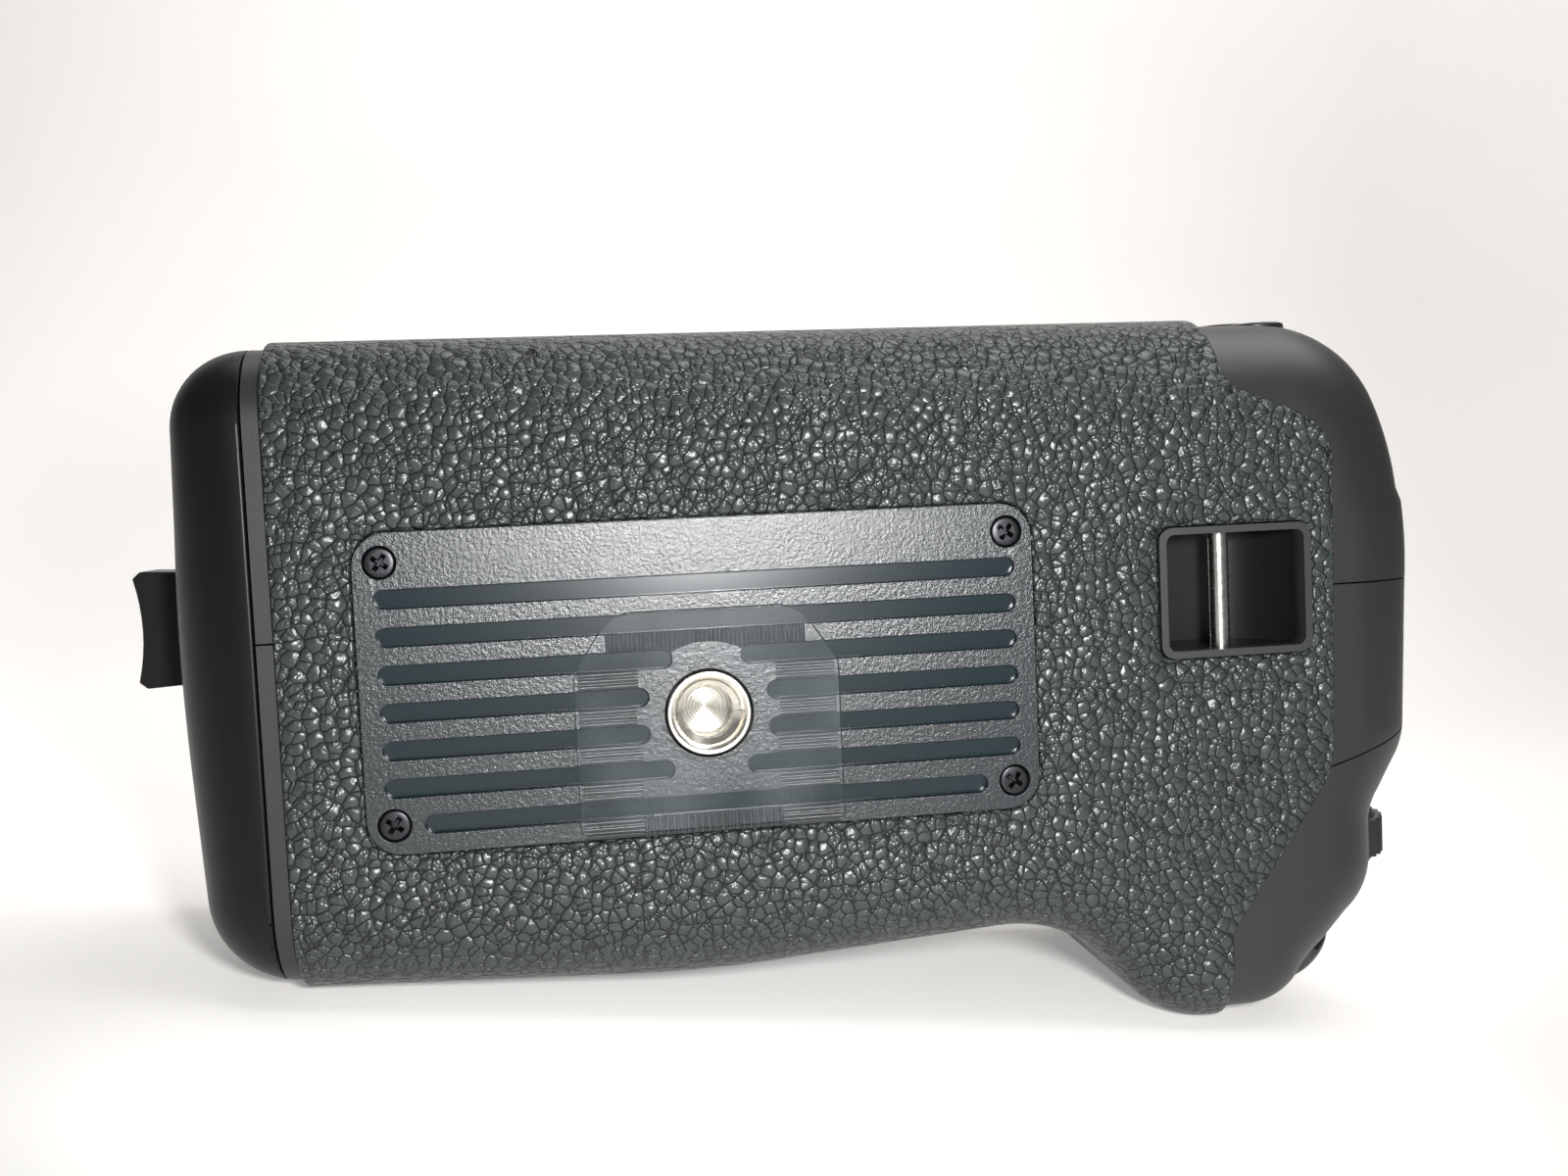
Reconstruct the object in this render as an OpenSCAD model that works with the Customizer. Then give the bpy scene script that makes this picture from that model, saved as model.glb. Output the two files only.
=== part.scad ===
// Vertical battery grip for a single-lens reflex camera, lying on its front face.
// Millimetres. +X runs to the control end, +Y from the base to the camera, +Z to the rear face.
// The origin is the mouth of the tripod socket, on the plane of the base.

/* [Body] */
// From the tripod socket to the cap end
left_l = 51.4; // [49:0.2:58]
// From the tripod socket to the control end
right_l = 79.2; // [77:0.2:86]
// From the tripod socket to the rear face
rear_d = 38.2; // [37.8:0.2:42]
// From the tripod socket to the front face
front_d = 27.9; // [27.5:0.2:31.5]
// From the tripod socket to the tip of the finger hump
hump_d = 37.2; // [36:0.2:42]
// Outer wall, with the skin where there is one
wall = 2.6; // [2.3:0.1:3.2]
// Depth of the end cap
cap_d = 7.9; // [7.4:0.1:10]
// Height of the joint line between the front and rear shells above the socket
split_d = 9.3; // [7:0.1:12]
// Gap along every joint line
seam = 0.2; // [0.1:0.05:0.4]

/* [Skin] */
// Thickness of the rubber skin
skin_t = 1.7; // [1.2:0.1:2]
// How far the skin stands proud of the shells
skin_proud = 0.7; // [0.2:0.1:0.9]
// Height of the skin on the rear face
skin_rear_h = 24; // [16:1:28]
// Height of the skin on the front face
skin_front_h = 34; // [24:1:36]
// Plain strip of shell between the end cap and the skin
strip_w = 1.9; // [1:0.1:4]
// From the control end to the skin's edge
skin_in = 12.1; // [10:0.1:14]

/* [Tripod plate] */
// Length of the plate
plate_l = 67.8; // [64:0.2:74]
// Width of the plate
plate_w = 31.5; // [30:0.1:34]
// Offset of the plate's middle towards the rear
plate_off = 3.8; // [2:0.1:6]
// Corner radius of the plate
plate_r = 3.4; // [1:0.1:5]
// How far the plate stands proud of the shells
plate_proud = 0.8; // [0.4:0.1:1.2]
// Width of one groove
groove_w = 1.9; // [1:0.1:2.6]
// Depth of the grooves
groove_t = 0.9; // [0.4:0.1:1.2]
// Spacing of the grooves
groove_pitch = 3.7; // [3.2:0.1:4]
// From the plate's rear edge to the middle of the first groove
groove_in = 6.5; // [5.5:0.05:7]
// From the plate's ends to the grooves
groove_end = 1.9; // [1.5:0.1:4]
// From the plate's ends to the frontmost groove, between two screws
groove_end_front = 5.5; // [5:0.1:8]
// Plain ring round the socket, out to the grooves
socket_land = 6.2; // [6:0.1:7.5]
// From the plate's ends to its screws
screw_in_l = 2.65; // [2.2:0.05:3]
// From the plate's sides to its screws
screw_in_w = 2.9; // [2.2:0.05:3.2]
// Radius of a plate screw's head
screw_head_r = 1.55; // [1.2:0.05:1.6]
// Radius of every screw's shank
screw_r = 0.9; // [0.7:0.05:1.1]
// Radius of the tripod socket's bore, for a quarter-inch screw
socket_bore_r = 3.2; // [3.2:0.05:3.4]
// Radius of the socket's bright ring
socket_r = 4.2; // [4:0.05:4.6]
// Depth of the socket's bore
socket_l = 6; // [5:0.1:6.4]
// Thickness of the clear film round the socket
film_t = 0.15; // [0.1:0.05:0.3]
// Half width of the film
film_half = 13.2; // [11:0.1:15]

/* [Strap lug] */
// Length of the lug's rim
lug_l = 16.7; // [15:0.1:19]
// Width of the lug's rim
lug_w = 13.7; // [12:0.1:15]
// From the control end to the middle of the lug
lug_in = 23.25; // [22:0.05:24]
// Width of the rim
lug_rim = 0.75; // [0.6:0.05:1.2]
// Depth of the lug's bucket
lug_t = 9.5; // [8:0.1:10]
// Radius of the strap bar
bar_r = 1.05; // [0.8:0.05:1.3]
// Depth of the bar's axis below the base
bar_t = 2; // [1.6:0.1:2.4]

/* [Magazine] */
// Width of a battery pack, along the grip
pack_w = 36.2; // [34:0.2:36.6]
// Thickness of a battery pack
pack_t = 14.8; // [12:0.2:15.4]
// Room round a pack in its bay
pack_gap = 0.5; // [0.2:0.1:0.8]
// Height of the chamber's floor above the base
chamber_y = 10; // [9.6:0.1:11]
// Wall of the chamber
chamber_wall = 1.1; // [0.8:0.1:1.3]
// Wall and floor of the tray
tray_wall = 1.2; // [1:0.1:1.5]
// Room for the latch between the cap and the first bay
latch_room = 4.4; // [4:0.1:5.4]
// Wall of the end cap
cap_wall = 2.4; // [2:0.1:3]

/* [Release handle] */
// Height of the handle's axis above the socket
handle_z = 10.2; // [8:0.2:12]
// Length of the handle's bar
handle_l = 12.4; // [10:0.1:14]
// Thickness of the bar
handle_t = 7; // [5:0.1:8]
// How far the bar stands out of the cap
handle_out = 6.8; // [5:0.1:9]
// Hollow in the bar's outer edge
handle_dip = 0.7; // [0.4:0.1:1.2]
// Radius of the handle's round foot
foot_r = 7.6; // [7.4:0.1:9]
// Radius of the latch bolt
bolt_r = 2.4; // [1.8:0.1:3]
// How far the locked tab reaches past the chamber's roof
tab_over = 1; // [0.6:0.1:1.6]

/* [Deck and battery post] */
// Thickness of the deck
deck_t = 2; // [1.6:0.1:2.6]
// Width of the shells' rim outside the deck
deck_rim = 1.3; // [1:0.1:1.6]
// Thickness of the battery post
post_w = 15; // [13:0.2:16]
// Length of the battery post from front to rear
post_l = 36.5; // [34:0.2:37]
// Height of the battery post above the deck
post_h = 62; // [50:0.5:66]
// From the control end to the middle of the post
post_in = 21.2; // [19:0.2:23]
// Middle of the post, towards the front
post_z = 8; // [6:0.2:10]
// Wall of the post
post_wall = 1.6; // [1.2:0.1:2]
// Flange of the post under the deck
flange_w = 2; // [1.5:0.1:3]
// Radius of the locating pin
pin_r = 1.25; // [1:0.05:1.6]
// Height of the locating pin
pin_h = 2.6; // [2:0.1:3.5]
// From the camera screw to the locating pin
pin_x = 24; // [18:0.5:30]

/* [Attachment screw] */
// Radius of the camera screw, a quarter-inch stud
stud_r = 3.15; // [3:0.05:3.175]
// Height of the camera screw above the deck
stud_h = 5.2; // [4:0.1:6]
// Tooth size of the gears
tooth_m = 1; // [0.9:0.05:1.1]
// Teeth of the screw's gear
stud_n = 24; // [22:1:26]
// How far the wheel stands out of the rear face
wheel_out = 1.7; // [1.2:0.1:2.4]
// Thickness of the wheel's rim
rim_t = 3.2; // [2.6:0.1:3.6]
// Thickness of the gears
gear_t = 2.2; // [1.6:0.1:2.6]
// Radius of the wheel's axle
axle_r = 1.6; // [1.2:0.1:2]

/* [Controls] */
// Radius of the main dial
dial_r = 8; // [7:0.1:8.4]
// Length of the main dial
dial_l = 7.4; // [6:0.1:7.8]
// How far the dial stands out of the end
dial_out = 4.7; // [3.6:0.1:5.4]
// Height of the dial's axis above the base
dial_y = 13.5; // [12.5:0.1:16]
// Ribs round the dial
dial_n = 34; // [24:1:40]
// Radius of the dial's pin
dial_pin_r = 1; // [0.8:0.05:1.2]
// Radius of the shutter button
shutter_r = 4.6; // [4:0.1:4.8]
// How far the shutter button stands out
shutter_out = 3; // [1.8:0.1:3.4]
// Height of the shutter button's axis above the base
shutter_y = 12; // [11.8:0.1:16]
// Travel of the shutter button
shutter_travel = 1.2; // [0.8:0.1:1.4]
// Radius of a rear button
button_r = 3.1; // [2.6:0.1:3.3]
// How far the lowest rear button stands out
button_out = 0.2; // [0.2:0.1:1]
// How much further the two above it stand out
button_step = 0.8; // [0:0.1:1]
// Spacing of the rear buttons
button_pitch = 8.6; // [8.4:0.1:9]
// Height of the lowest rear button above the base
button_y = 12; // [11.4:0.1:12.5]
// From the control end to the row of rear buttons
button_in = 14.4; // [13.4:0.1:16]
// Travel of a rear button
button_travel = 0.8; // [0.5:0.1:0.9]
// Height of the power knob's middle above the base
knob_y = 20; // [18:0.5:22]
// Length of the power knob
knob_l = 5; // [4:0.1:6]
// Width of the power knob
knob_w = 4; // [3:0.1:5]
// How far the power knob stands out
knob_out = 1.5; // [1:0.1:2]
// Travel of the power knob
knob_travel = 3.5; // [2:0.1:4]

/* [Fits] */
// Gap between pieces that are fixed to each other
fit = 0.1; // [0.05:0.05:0.15]
// Radial gap of a shaft that runs in a hole
run = 0.05; // [0.03:0.01:0.08]
// Gap between a sliding piece and its guide
glide = 0.3; // [0.25:0.05:0.4]

/* [Hidden] */
$fn = 48;
far = 200;
corner_steps = 6;
split_z = split_d;
cap_x = cap_d - left_l;
skin_end = right_l - skin_in;
lug_x = right_l - lug_in;
post_x = right_l - post_in;
button_x = right_l - button_in;

// Corners of the body's outline: along, up, corner radius, radius of the base's edge there
step_x = right_l - 5.3;
rear_fall = 0.3;
cap_crown = 1;
end_crown = 0.7;
waist_x = right_l - 40.6;
waist_in = 3.2;
face_a = [right_l - 17.3, 0.1 - hump_d];
face_b = [step_x, 11.8 - hump_d];
face_dir = unit(face_b - face_a);
shutter_shift = 1.8;
face_dish = 1;
face_mid = (face_a + face_b) / 2 - shutter_shift * face_dir + face_dish * [-face_dir.y, face_dir.x];
corners = [
    [right_l - 0.6, rear_d - 14, 35, 11],
    [right_l - 6.3, rear_d - rear_fall, 14, 11],
    [0.3 - left_l, rear_d, 7.8, 7.6],
    [-left_l - cap_crown, (rear_d - front_d) / 2 + 3, 260, 8.5],
    [0.8 - left_l, 2.5 - front_d, 10, 8.5],
    [0, -front_d, 140, 8.5],
    [waist_x, waist_in - front_d, 16, 7],
    [right_l - 30.4, -hump_d, 10, 6.4],
    [face_a.x, face_a.y, 7.5, 6.5],
    [face_mid.x, face_mid.y, 14, 6.8],
    [face_b.x, face_b.y, 9, 8.2],
    [step_x, 21.1 - hump_d, 5.5, 8.2],
    [right_l - 0.9, 27.8 - hump_d, 9.6, 8.8],
    [right_l + end_crown, (rear_d - front_d) / 2 + 8, 50, 10]
];
hub = [waist_x + 1.4, 5];

// Edge of the skin: along, up, corner radius
skin_corners = [
    [skin_end - 11.8, far, 1, 0],
    [cap_x + strip_w, far, 1, 0],
    [cap_x + strip_w, -far, 1, 0],
    [skin_end - 12.9, -far, 1, 0],
    [skin_end - 12.4, 9.9 - hump_d, 3.4, 0],
    [skin_end - 0.5, 26.8 - hump_d, 9, 0],
    [skin_end + 0.2, rear_d - 12, 6.2, 0],
    [skin_end - 11.5, rear_d - 7.3, 3.2, 0]
];

function unit(v) = v / norm(v);
function turned(v, a) = [v.x * cos(a) - v.y * sin(a), v.x * sin(a) + v.y * cos(a)];

// Points of one rounded corner, each with its outward normal and its edge radius
function corner(before, at, after, r, edge) =
    let (a = unit(before - at), b = unit(after - at))
    let (half = acos(a * b) / 2)
    let (side = cross(at - before, after - at) > 0 ? 1 : -1)
    let (centre = at + unit(a + b) * r / sin(half))
    let (start = unit(at + a * r / tan(half) - centre))
    [for (i = [0:corner_steps])
        let (d = turned(start, side * (180 - 2 * half) * i / corner_steps))
        [centre + r * d, side * d, edge]];

function flat(v) = [v[0], v[1]];
function rounded(list) = let (n = len(list)) [for (i = [0:n - 1])
    let (before = list[(i + n - 1) % n], at = list[i], after = list[(i + 1) % n])
    each corner(flat(before), flat(at), flat(after), at[2], at[3])];
function grown(edge, by) = [for (o = edge) o[0] + o[1] * by];

outline = rounded(corners);
skin_edge = rounded(skin_corners);

// One ring of the body's form on its rounded base edge, and one on its upright wall
function ring(inset, angle) = [for (o = outline)
    let (r = o[2] - inset)
    let (p = o[0] - o[1] * (inset + r * (1 - sin(angle))))
    [p.x, inset + r * (1 - cos(angle)), p.y]];
function rim(inset, y) = [for (p = grown(outline, -inset)) [p.x, y, p.y]];

// The body's whole form, drawn in by inset
module form(inset, top) {
    rings = concat([for (a = [0:18:90]) ring(inset, a)], [rim(inset, top)]);
    n = len(outline);
    m = len(rings);
    sides = [for (k = [0:m - 2]) for (i = [0:n - 1]) let (a = k * n + i, b = k * n + (i + 1) % n)
        each [[a, b, b + n], [a, b + n, a + n]]];
    base = [for (i = [0:n - 1]) [n * m, (i + 1) % n, i]];
    lid = [for (i = [0:n - 1]) [n * m + 1, n * (m - 1) + i, n * (m - 1) + (i + 1) % n]];
    hubs = [[hub.x, inset, hub.y], [hub.x, top, hub.y]];
    polyhedron(concat([for (r = rings) each r], hubs), concat(sides, base, lid));
}

// A profile in X and Z, or in Y and Z, drawn out along the third axis
module along_y(y0, y1) {
    translate([0, y1, 0]) rotate([90, 0, 0]) linear_extrude(y1 - y0) children();
}
module along_x(x0, x1) {
    translate([x0, 0, 0]) rotate([90, 0, 90]) linear_extrude(x1 - x0) children();
}
module along_z(z0, z1) {
    translate([0, 0, z0]) linear_extrude(z1 - z0) children();
}
module rod_y(x, z, r, y0, y1) {
    along_y(y0, y1) translate([x, z]) circle(r);
}
module block(a, b) {
    translate(a) cube(b - a);
}
module soft_rect(w, h, r) {
    points = [for (s = [[1, 1], [-1, 1], [-1, -1], [1, -1]])
        let (base = atan2(s.y, s.x) - 45)
        for (i = [0:corner_steps]) let (a = base + 90 * i / corner_steps)
        [s.x * (w / 2 - r) + r * cos(a), s.y * (h / 2 - r) + r * sin(a)]];
    polygon(points);
}

module skin_zone(grow) {
    along_y(-far, skin_rear_h + grow) polygon(grown(skin_edge, grow));
    intersection() {
        along_y(-far, skin_front_h + grow) polygon(grown(skin_edge, grow));
        block([-far, -far, -far], [far, far, 0]);
    }
}

// Joint line of the control cover, rising a little towards the end
cover_rise = 0.3;
cover_z = 27.1 - hump_d;
module cover_zone(grow) {
    difference() {
        along_y(-far, far) polygon([
            [skin_end - 20, -far], [far, -far],
            [far, cover_z + (far - skin_end) * cover_rise + grow],
            [skin_end - 20, cover_z - 20 * cover_rise + grow]
        ]);
        along_y(-far, far) polygon(grown(skin_edge, seam / 2 - grow));
    }
}

// The shells' wall before it is parted, with its seats for the skin and the deck
module housing() {
    difference() {
        union() {
            form(skin_t - skin_proud, body_h);
            difference() {
                form(0, body_h);
                skin_zone(fit);
            }
        }
        form(wall, body_h + 1);
        along_y(deck_y, far) polygon(grown(outline, fit - deck_rim));
        lug_hole();
        for (p = plate_holes) rod_y(p.x, p.y, screw_r + fit, -1, wall + 1);
        rod_y(0, 0, socket_r + fit, -1, wall + 1);
    }
}

// Places of the plate screws and the deck screws
screw_l = plate_l - 2 * screw_in_l;
screw_w = plate_w - 2 * screw_in_w;
plate_holes = [for (x = [-1, 1]) for (z = [-1, 1]) [x * screw_l / 2, plate_off + z * screw_w / 2]];
boss_r = 2.4;
boss_in = wall + 1.2;
rear_bosses = [
    [cap_x + 9.5, rear_d - boss_in],
    [26, rear_d - 0.5 * rear_fall - boss_in],
    [post_x - 8, rear_d - 0.8 * rear_fall - boss_in]
];
front_bosses = [
    [cap_x + 9.5, 1.1 - front_d + boss_in],
    [14, 1.1 - front_d + boss_in],
    [right_l - 27.8, boss_in - hump_d]
];
boss_h = 6;
deck_head_r = 1.8;
deck_head_t = 1;

module deck_bosses(places) {
    for (p = places) rod_y(p.x, p.y, boss_r, deck_y - boss_h, deck_y);
}
module deck_drills(places) {
    for (p = places) rod_y(p.x, p.y, screw_r + fit, deck_y - boss_h - 1, far);
}

// Room for the chamber between the shells, and its height over the tray and the packs
chamber_gap = 0.5;
chamber_rear = rear_d - 0.7 * rear_fall - wall - chamber_gap;
chamber_front = 0.86 * waist_in - front_d + wall + chamber_gap;
chamber_mid = (chamber_rear + chamber_front) / 2;
chamber_half = (chamber_rear - chamber_front) / 2 - chamber_wall;
tray_head = 0.8;
chamber_h = pack_t + tray_wall + pack_gap + 2 * glide + tray_head;
chamber_top = chamber_y + chamber_h;

// Drive of the camera screw, stacked on the chamber: the screw over the tripod socket, the wheel behind it
roof_gap = 0.2;
stake_out = 0.6;
bracket_t = 1.2;
bracket_gap = 0.4;
rim_gap = 0.3;
gear_gap = 0.9;
bracket_y = chamber_top + chamber_wall + roof_gap + stake_out;
rim_y = bracket_y + bracket_t + bracket_gap;
gear_y = rim_y + rim_t + rim_gap;
deck_y = gear_y + gear_t + gear_gap;
body_h = deck_y + deck_t;
wheel_n = floor((chamber_rear - 0.2) / tooth_m - stud_n / 2 - 1);
wheel_z = tooth_m * (wheel_n + stud_n) / 2;
wheel_r = rear_d + wheel_out - wheel_z;
wheel_slack = 0.6;
journal_r = stud_r + 0.9;
spindle_r = axle_r + 1;
stake_x = tooth_m * (stud_n / 2 + 1) + 3;
stake_z = 4;
stake_r = 1.2;
post_shell = 0.7;
axle_cover = 0.8;
arm_w = 7;
arm_end = 6;
arm_r = 4;
wheel_knurls = 54;
wheel_knurl_t = 0.5;

// Places of the controls
dial_x = step_x + dial_out - dial_r;
dial_z = 16.9 - hump_d;
cheek_t = 1;
cheek_gap = 0.3;
face_angle = 180 - atan2(face_dir.y, face_dir.x);
shutter_at = face_mid;
switch_top = wall + 1.6 + shutter_travel + 0.2;
bracket_in = switch_top + 1.9;
ear_t = 0.8;
tail_l = 11;
button_ys = [for (i = [0:2]) button_y + i * button_pitch];
button_face = rear_d - 0.88 * rear_fall;
button_outs = [button_out, button_out + button_step, button_out + button_step];
lip_t = 0.8;
lip_w = 0.8;
post_off = 3.6;
board_t = 1.4;
plunger_h = 1.8;
plunger_gap = 0.2;
board_z = button_face - wall - 0.2 - lip_t - button_travel - plunger_gap - plunger_h - board_t;
knob_face = right_l - 0.5;
knob_z = 0;
slider_t = 1;
slot_end = 1;

// Places of the magazine and its chamber
bay_w = pack_w + pack_gap;
bay_x = [cap_x + latch_room + tray_wall, cap_x + latch_room + 2 * tray_wall + bay_w];
tray_end = bay_x[1] + bay_w + tray_wall;
tray_half = chamber_half - glide;
tray_y = chamber_y + glide;
tray_top = tray_y + tray_wall + pack_t + pack_gap;
end_gap = 1.2;
chamber_end = tray_end + end_gap;
leaf_t = 0.4;
mouth_r = 5;
mouth_y = [wall + 0.6, deck_y - 1];
mouth_z = [chamber_front + 0.2, chamber_rear - 0.2];
cap_face = 0.6 - cap_crown - left_l;
foot_t = 1.2;
foot_floor = cap_face + 1.2;
pocket_x = foot_floor + cap_wall;
cap_skin = 1.2;
head_t = 2;
tab_t = 2;
tab_w = 4;
tab_x = cap_x + 1;
handle_y = (chamber_y + chamber_top) / 2 + 1;
tab_l = chamber_top + chamber_wall + tab_over - handle_y;
tab_room = sqrt(tab_l ^ 2 + (tab_w / 2) ^ 2 - (chamber_top - handle_y) ^ 2);

// The lug's bucket: its rim lies on the skin and its well hangs inside
lug_r = 1.4;
lug_z = split_z;
lug_proud = 0.2;
lug_floor = 1;
bar_off = 0.7;
module lug_hole() {
    along_y(-far, wall + 1) translate([lug_x, lug_z])
        soft_rect(lug_l + 2 * fit, lug_w + 2 * fit, lug_r + fit);
}

module rear_shell() {
    color("#1c1c1e") difference() {
        union() {
            intersection() {
                housing();
                block([cap_x + seam, -far, split_z + seam / 2], [far, far, far]);
            }
            deck_bosses(rear_bosses);
            ledges(chamber_rear - ledge_w, far);
            for (i = [0, 1])
                translate([button_x - post_off, button_ys[i] + button_pitch / 2, board_z + board_t])
                cylinder(r = stake_r, h = button_face - wall / 2 - board_z - board_t);
        }
        deck_drills(rear_bosses);
        for (y = button_ys) translate([button_x, y, board_z]) {
            cylinder(r = button_r + glide, h = far);
            cylinder(r = button_r + lip_w + glide, h = button_face - wall + 0.1 - board_z);
        }
        rod_y(0, wheel_z, wheel_r + wheel_slack, rim_y - glide, rim_y + rim_t + glide);
    }
}

module front_shell() {
    color("#1a1a1c") difference() {
        union() {
            difference() {
                intersection() {
                    housing();
                    block([cap_x + seam, -far, -far], [far, far, split_z - seam / 2]);
                }
                cover_zone(seam / 2);
            }
            deck_bosses(front_bosses);
            ledges(-far, chamber_front + ledge_w);
            knob_ribs();
        }
        deck_drills(front_bosses);
        block([knob_face - 9, knob_y - knob_l / 2 - glide, knob_z - knob_w / 2 - glide],
            [far, knob_y + knob_l / 2 + knob_travel + glide, knob_z + knob_w / 2 + glide]);
    }
}

// Ledges inside the shells carry the chamber
ledge_t = 1.6;
ledge_w = 4;
ledge_l = 8;
ledge_xs = [-30, 14];
module ledges(z0, z1) {
    intersection() {
        form((wall + skin_t - skin_proud) / 2, body_h);
        for (x = ledge_xs)
            block([x, chamber_y - chamber_wall - ledge_t, z0], [x + ledge_l, chamber_y - chamber_wall, z1]);
    }
}

// Two ribs behind the end wall hold the power switch
switch_l = knob_l + knob_travel + 2 * slot_end + 6;
switch_y0 = knob_y + knob_travel / 2 - switch_l / 2;
switch_in = wall + slider_t + 2 * glide;
switch_t = 3;
switch_w = 6;
rib_t = 1;
module knob_ribs() {
    for (y = [switch_y0 - rib_t, switch_y0 + switch_l])
        block([knob_face - switch_in - switch_t, y, knob_z - switch_w / 2],
            [knob_face - 0.75 * wall, y + rib_t, knob_z + switch_w / 2]);
}

module control_cover() {
    color("#1b1b1d") difference() {
        union() {
            intersection() {
                housing();
                cover_zone(-seam / 2);
            }
            intersection() {
                form(0.5, body_h);
                for (s = [-1, 1]) translate([0, 0, dial_z + s * (dial_l / 2 + cheek_gap + cheek_t / 2)])
                    block([dial_x - 2, dial_y - 4, -cheek_t / 2], [right_l, dial_y + 4, cheek_t / 2]);
            }
        }
        translate([dial_x, dial_y, dial_z]) {
            cylinder(r = dial_r + 2 * glide, h = dial_l + 2 * cheek_gap, center = true);
            cylinder(r = dial_pin_r + run, h = dial_l + 2 * cheek_gap + 2 * cheek_t + fit, center = true);
        }
        at_shutter() translate([0, 0, -wall - 3]) cylinder(r = shutter_r + glide, h = 20);
    }
}

module grip_skin() {
    color("#232325") difference() {
        intersection() {
            difference() {
                form(-skin_proud, body_h);
                form(skin_t - skin_proud, body_h + 1);
            }
            skin_zone(0);
        }
        along_y(-far, wall) translate([0, plate_off])
            soft_rect(plate_l + 2 * fit, plate_w + 2 * fit, plate_r + fit);
        lug_hole();
    }
}

plate_t = plate_proud + skin_t - skin_proud;
socket_gap = 0.25;
grooves = 7;

// Film: an arch over the socket that runs straight to the plate's front edge, let into the plate
film_top = 10.4;
film_bottom = plate_off - plate_w / 2 + 0.5;
film_side = 4.6;
film_edge = rounded([
    [-film_half, film_bottom, 0.6, 0], [film_half, film_bottom, 0.6, 0], [film_half, film_side, 2, 0],
    [film_half * 0.7, film_top, 4, 0], [-film_half * 0.7, film_top, 4, 0], [-film_half, film_side, 2, 0]
]);
module groove(x0, x1, z) {
    along_y(-plate_proud - 1, groove_t - plate_proud) {
        translate([x0, z - groove_w / 2]) square([x1 - x0, groove_w]);
        for (x = [x0, x1]) translate([x, z]) circle(groove_w / 2);
    }
}
module tripod_plate() {
    color("#26282b") difference() {
        along_y(-plate_proud, plate_t - plate_proud) translate([0, plate_off])
            soft_rect(plate_l, plate_w, plate_r);
        for (k = [0:grooves - 1]) {
            z = plate_off + plate_w / 2 - groove_in - k * groove_pitch;
            half = (plate_l - groove_w) / 2 - (k == grooves - 1 ? groove_end_front : groove_end);
            if (abs(z) > socket_land + groove_w / 2) groove(-half, half, z);
            else for (s = [-1, 1]) {
                gap = sqrt((socket_land + groove_w / 2) ^ 2 - z ^ 2);
                groove(min(s * gap, s * half), max(s * gap, s * half), z);
            }
        }
        along_y(-plate_proud - 1, film_t - plate_proud) polygon(grown(film_edge, fit));
        for (p = plate_holes) {
            rod_y(p.x, p.y, screw_head_r + fit, -2, plate_t - plate_proud - 0.6);
            rod_y(p.x, p.y, screw_r + fit, -2, 3);
        }
        rod_y(0, 0, socket_r + socket_gap, -2, 3);
    }
}

chassis_t = 1.4;
chassis_y = wall;
module plate_screws() {
    color("#2a2a2c") for (p = plate_holes) {
        rod_y(p.x, p.y, screw_head_r, 0.15 - plate_proud, plate_t - plate_proud - 0.6);
        rod_y(p.x, p.y, screw_r, plate_t - plate_proud - 0.7, chassis_y + chassis_t + 1);
    }
}

module base_chassis() {
    color("#8d9094") difference() {
        along_y(chassis_y, chassis_y + chassis_t) translate([0, plate_off])
            soft_rect(screw_l + 6, screw_w + 4.4, 2);
        rod_y(0, 0, socket_r + fit, 0, 6);
        for (p = plate_holes) rod_y(p.x, p.y, screw_r + fit, 0, 6);
    }
}

socket_flange_t = 1.6;
film_hole = 0.8;
mouth_t = 0.6;
socket_floor = 1.2;
module tripod_socket() {
    color("#c9c9c4") rotate([-90, 0, 0]) difference() {
        union() {
            translate([0, 0, -plate_proud])
                cylinder(r = socket_r, h = socket_l + plate_proud + socket_floor);
            translate([0, 0, chassis_y + chassis_t]) cylinder(r = socket_r + 2.2, h = socket_flange_t);
        }
        translate([0, 0, -5]) cylinder(r = socket_bore_r, h = socket_l + 5);
        translate([0, 0, -plate_proud])
            cylinder(r1 = socket_bore_r + mouth_t, r2 = socket_bore_r, h = mouth_t);
    }
}

module socket_film() {
    color("#b9c0c8", 0.35) along_y(-plate_proud, film_t - plate_proud) difference() {
        polygon(grown(film_edge, 0));
        circle(socket_r + film_hole);
    }
}

// Bucket: a flat floor left of the bar, and a ramp that rises to the control end
ramp_x = -0.5;
ramp_y = 0.6;
lug_fillet = 1.5;
module strap_bezel() {
    inner_l = lug_l - 2 * lug_rim;
    inner_w = lug_w - 2 * lug_rim;
    well = concat(
        [[inner_l / 2, -far], [-inner_l / 2, -far]],
        [for (a = [0:15:90]) [lug_fillet * (1 - cos(a)) - inner_l / 2, lug_t - lug_fillet * (1 - sin(a))]],
        [for (a = [0:7.5:90]) [ramp_x + (inner_l / 2 - ramp_x) * sin(a), ramp_y + (lug_t - ramp_y) * cos(a)]]
    );
    color("#202022") translate([lug_x, 0, lug_z]) difference() {
        along_y(-skin_proud - lug_proud, lug_t + lug_floor) soft_rect(lug_l, lug_w, lug_r);
        intersection() {
            along_y(-far, far) soft_rect(inner_l, inner_w, lug_r - 0.5);
            along_z(-far, far) polygon(well);
        }
        translate([-bar_off, bar_t, 0]) cylinder(r = bar_r + run, h = lug_w - lug_rim, center = true);
    }
}

module strap_bar() {
    color("#c4c5c7") translate([lug_x - bar_off, bar_t, lug_z])
        cylinder(r = bar_r, h = lug_w - lug_rim - 2 * run, center = true);
}

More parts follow.
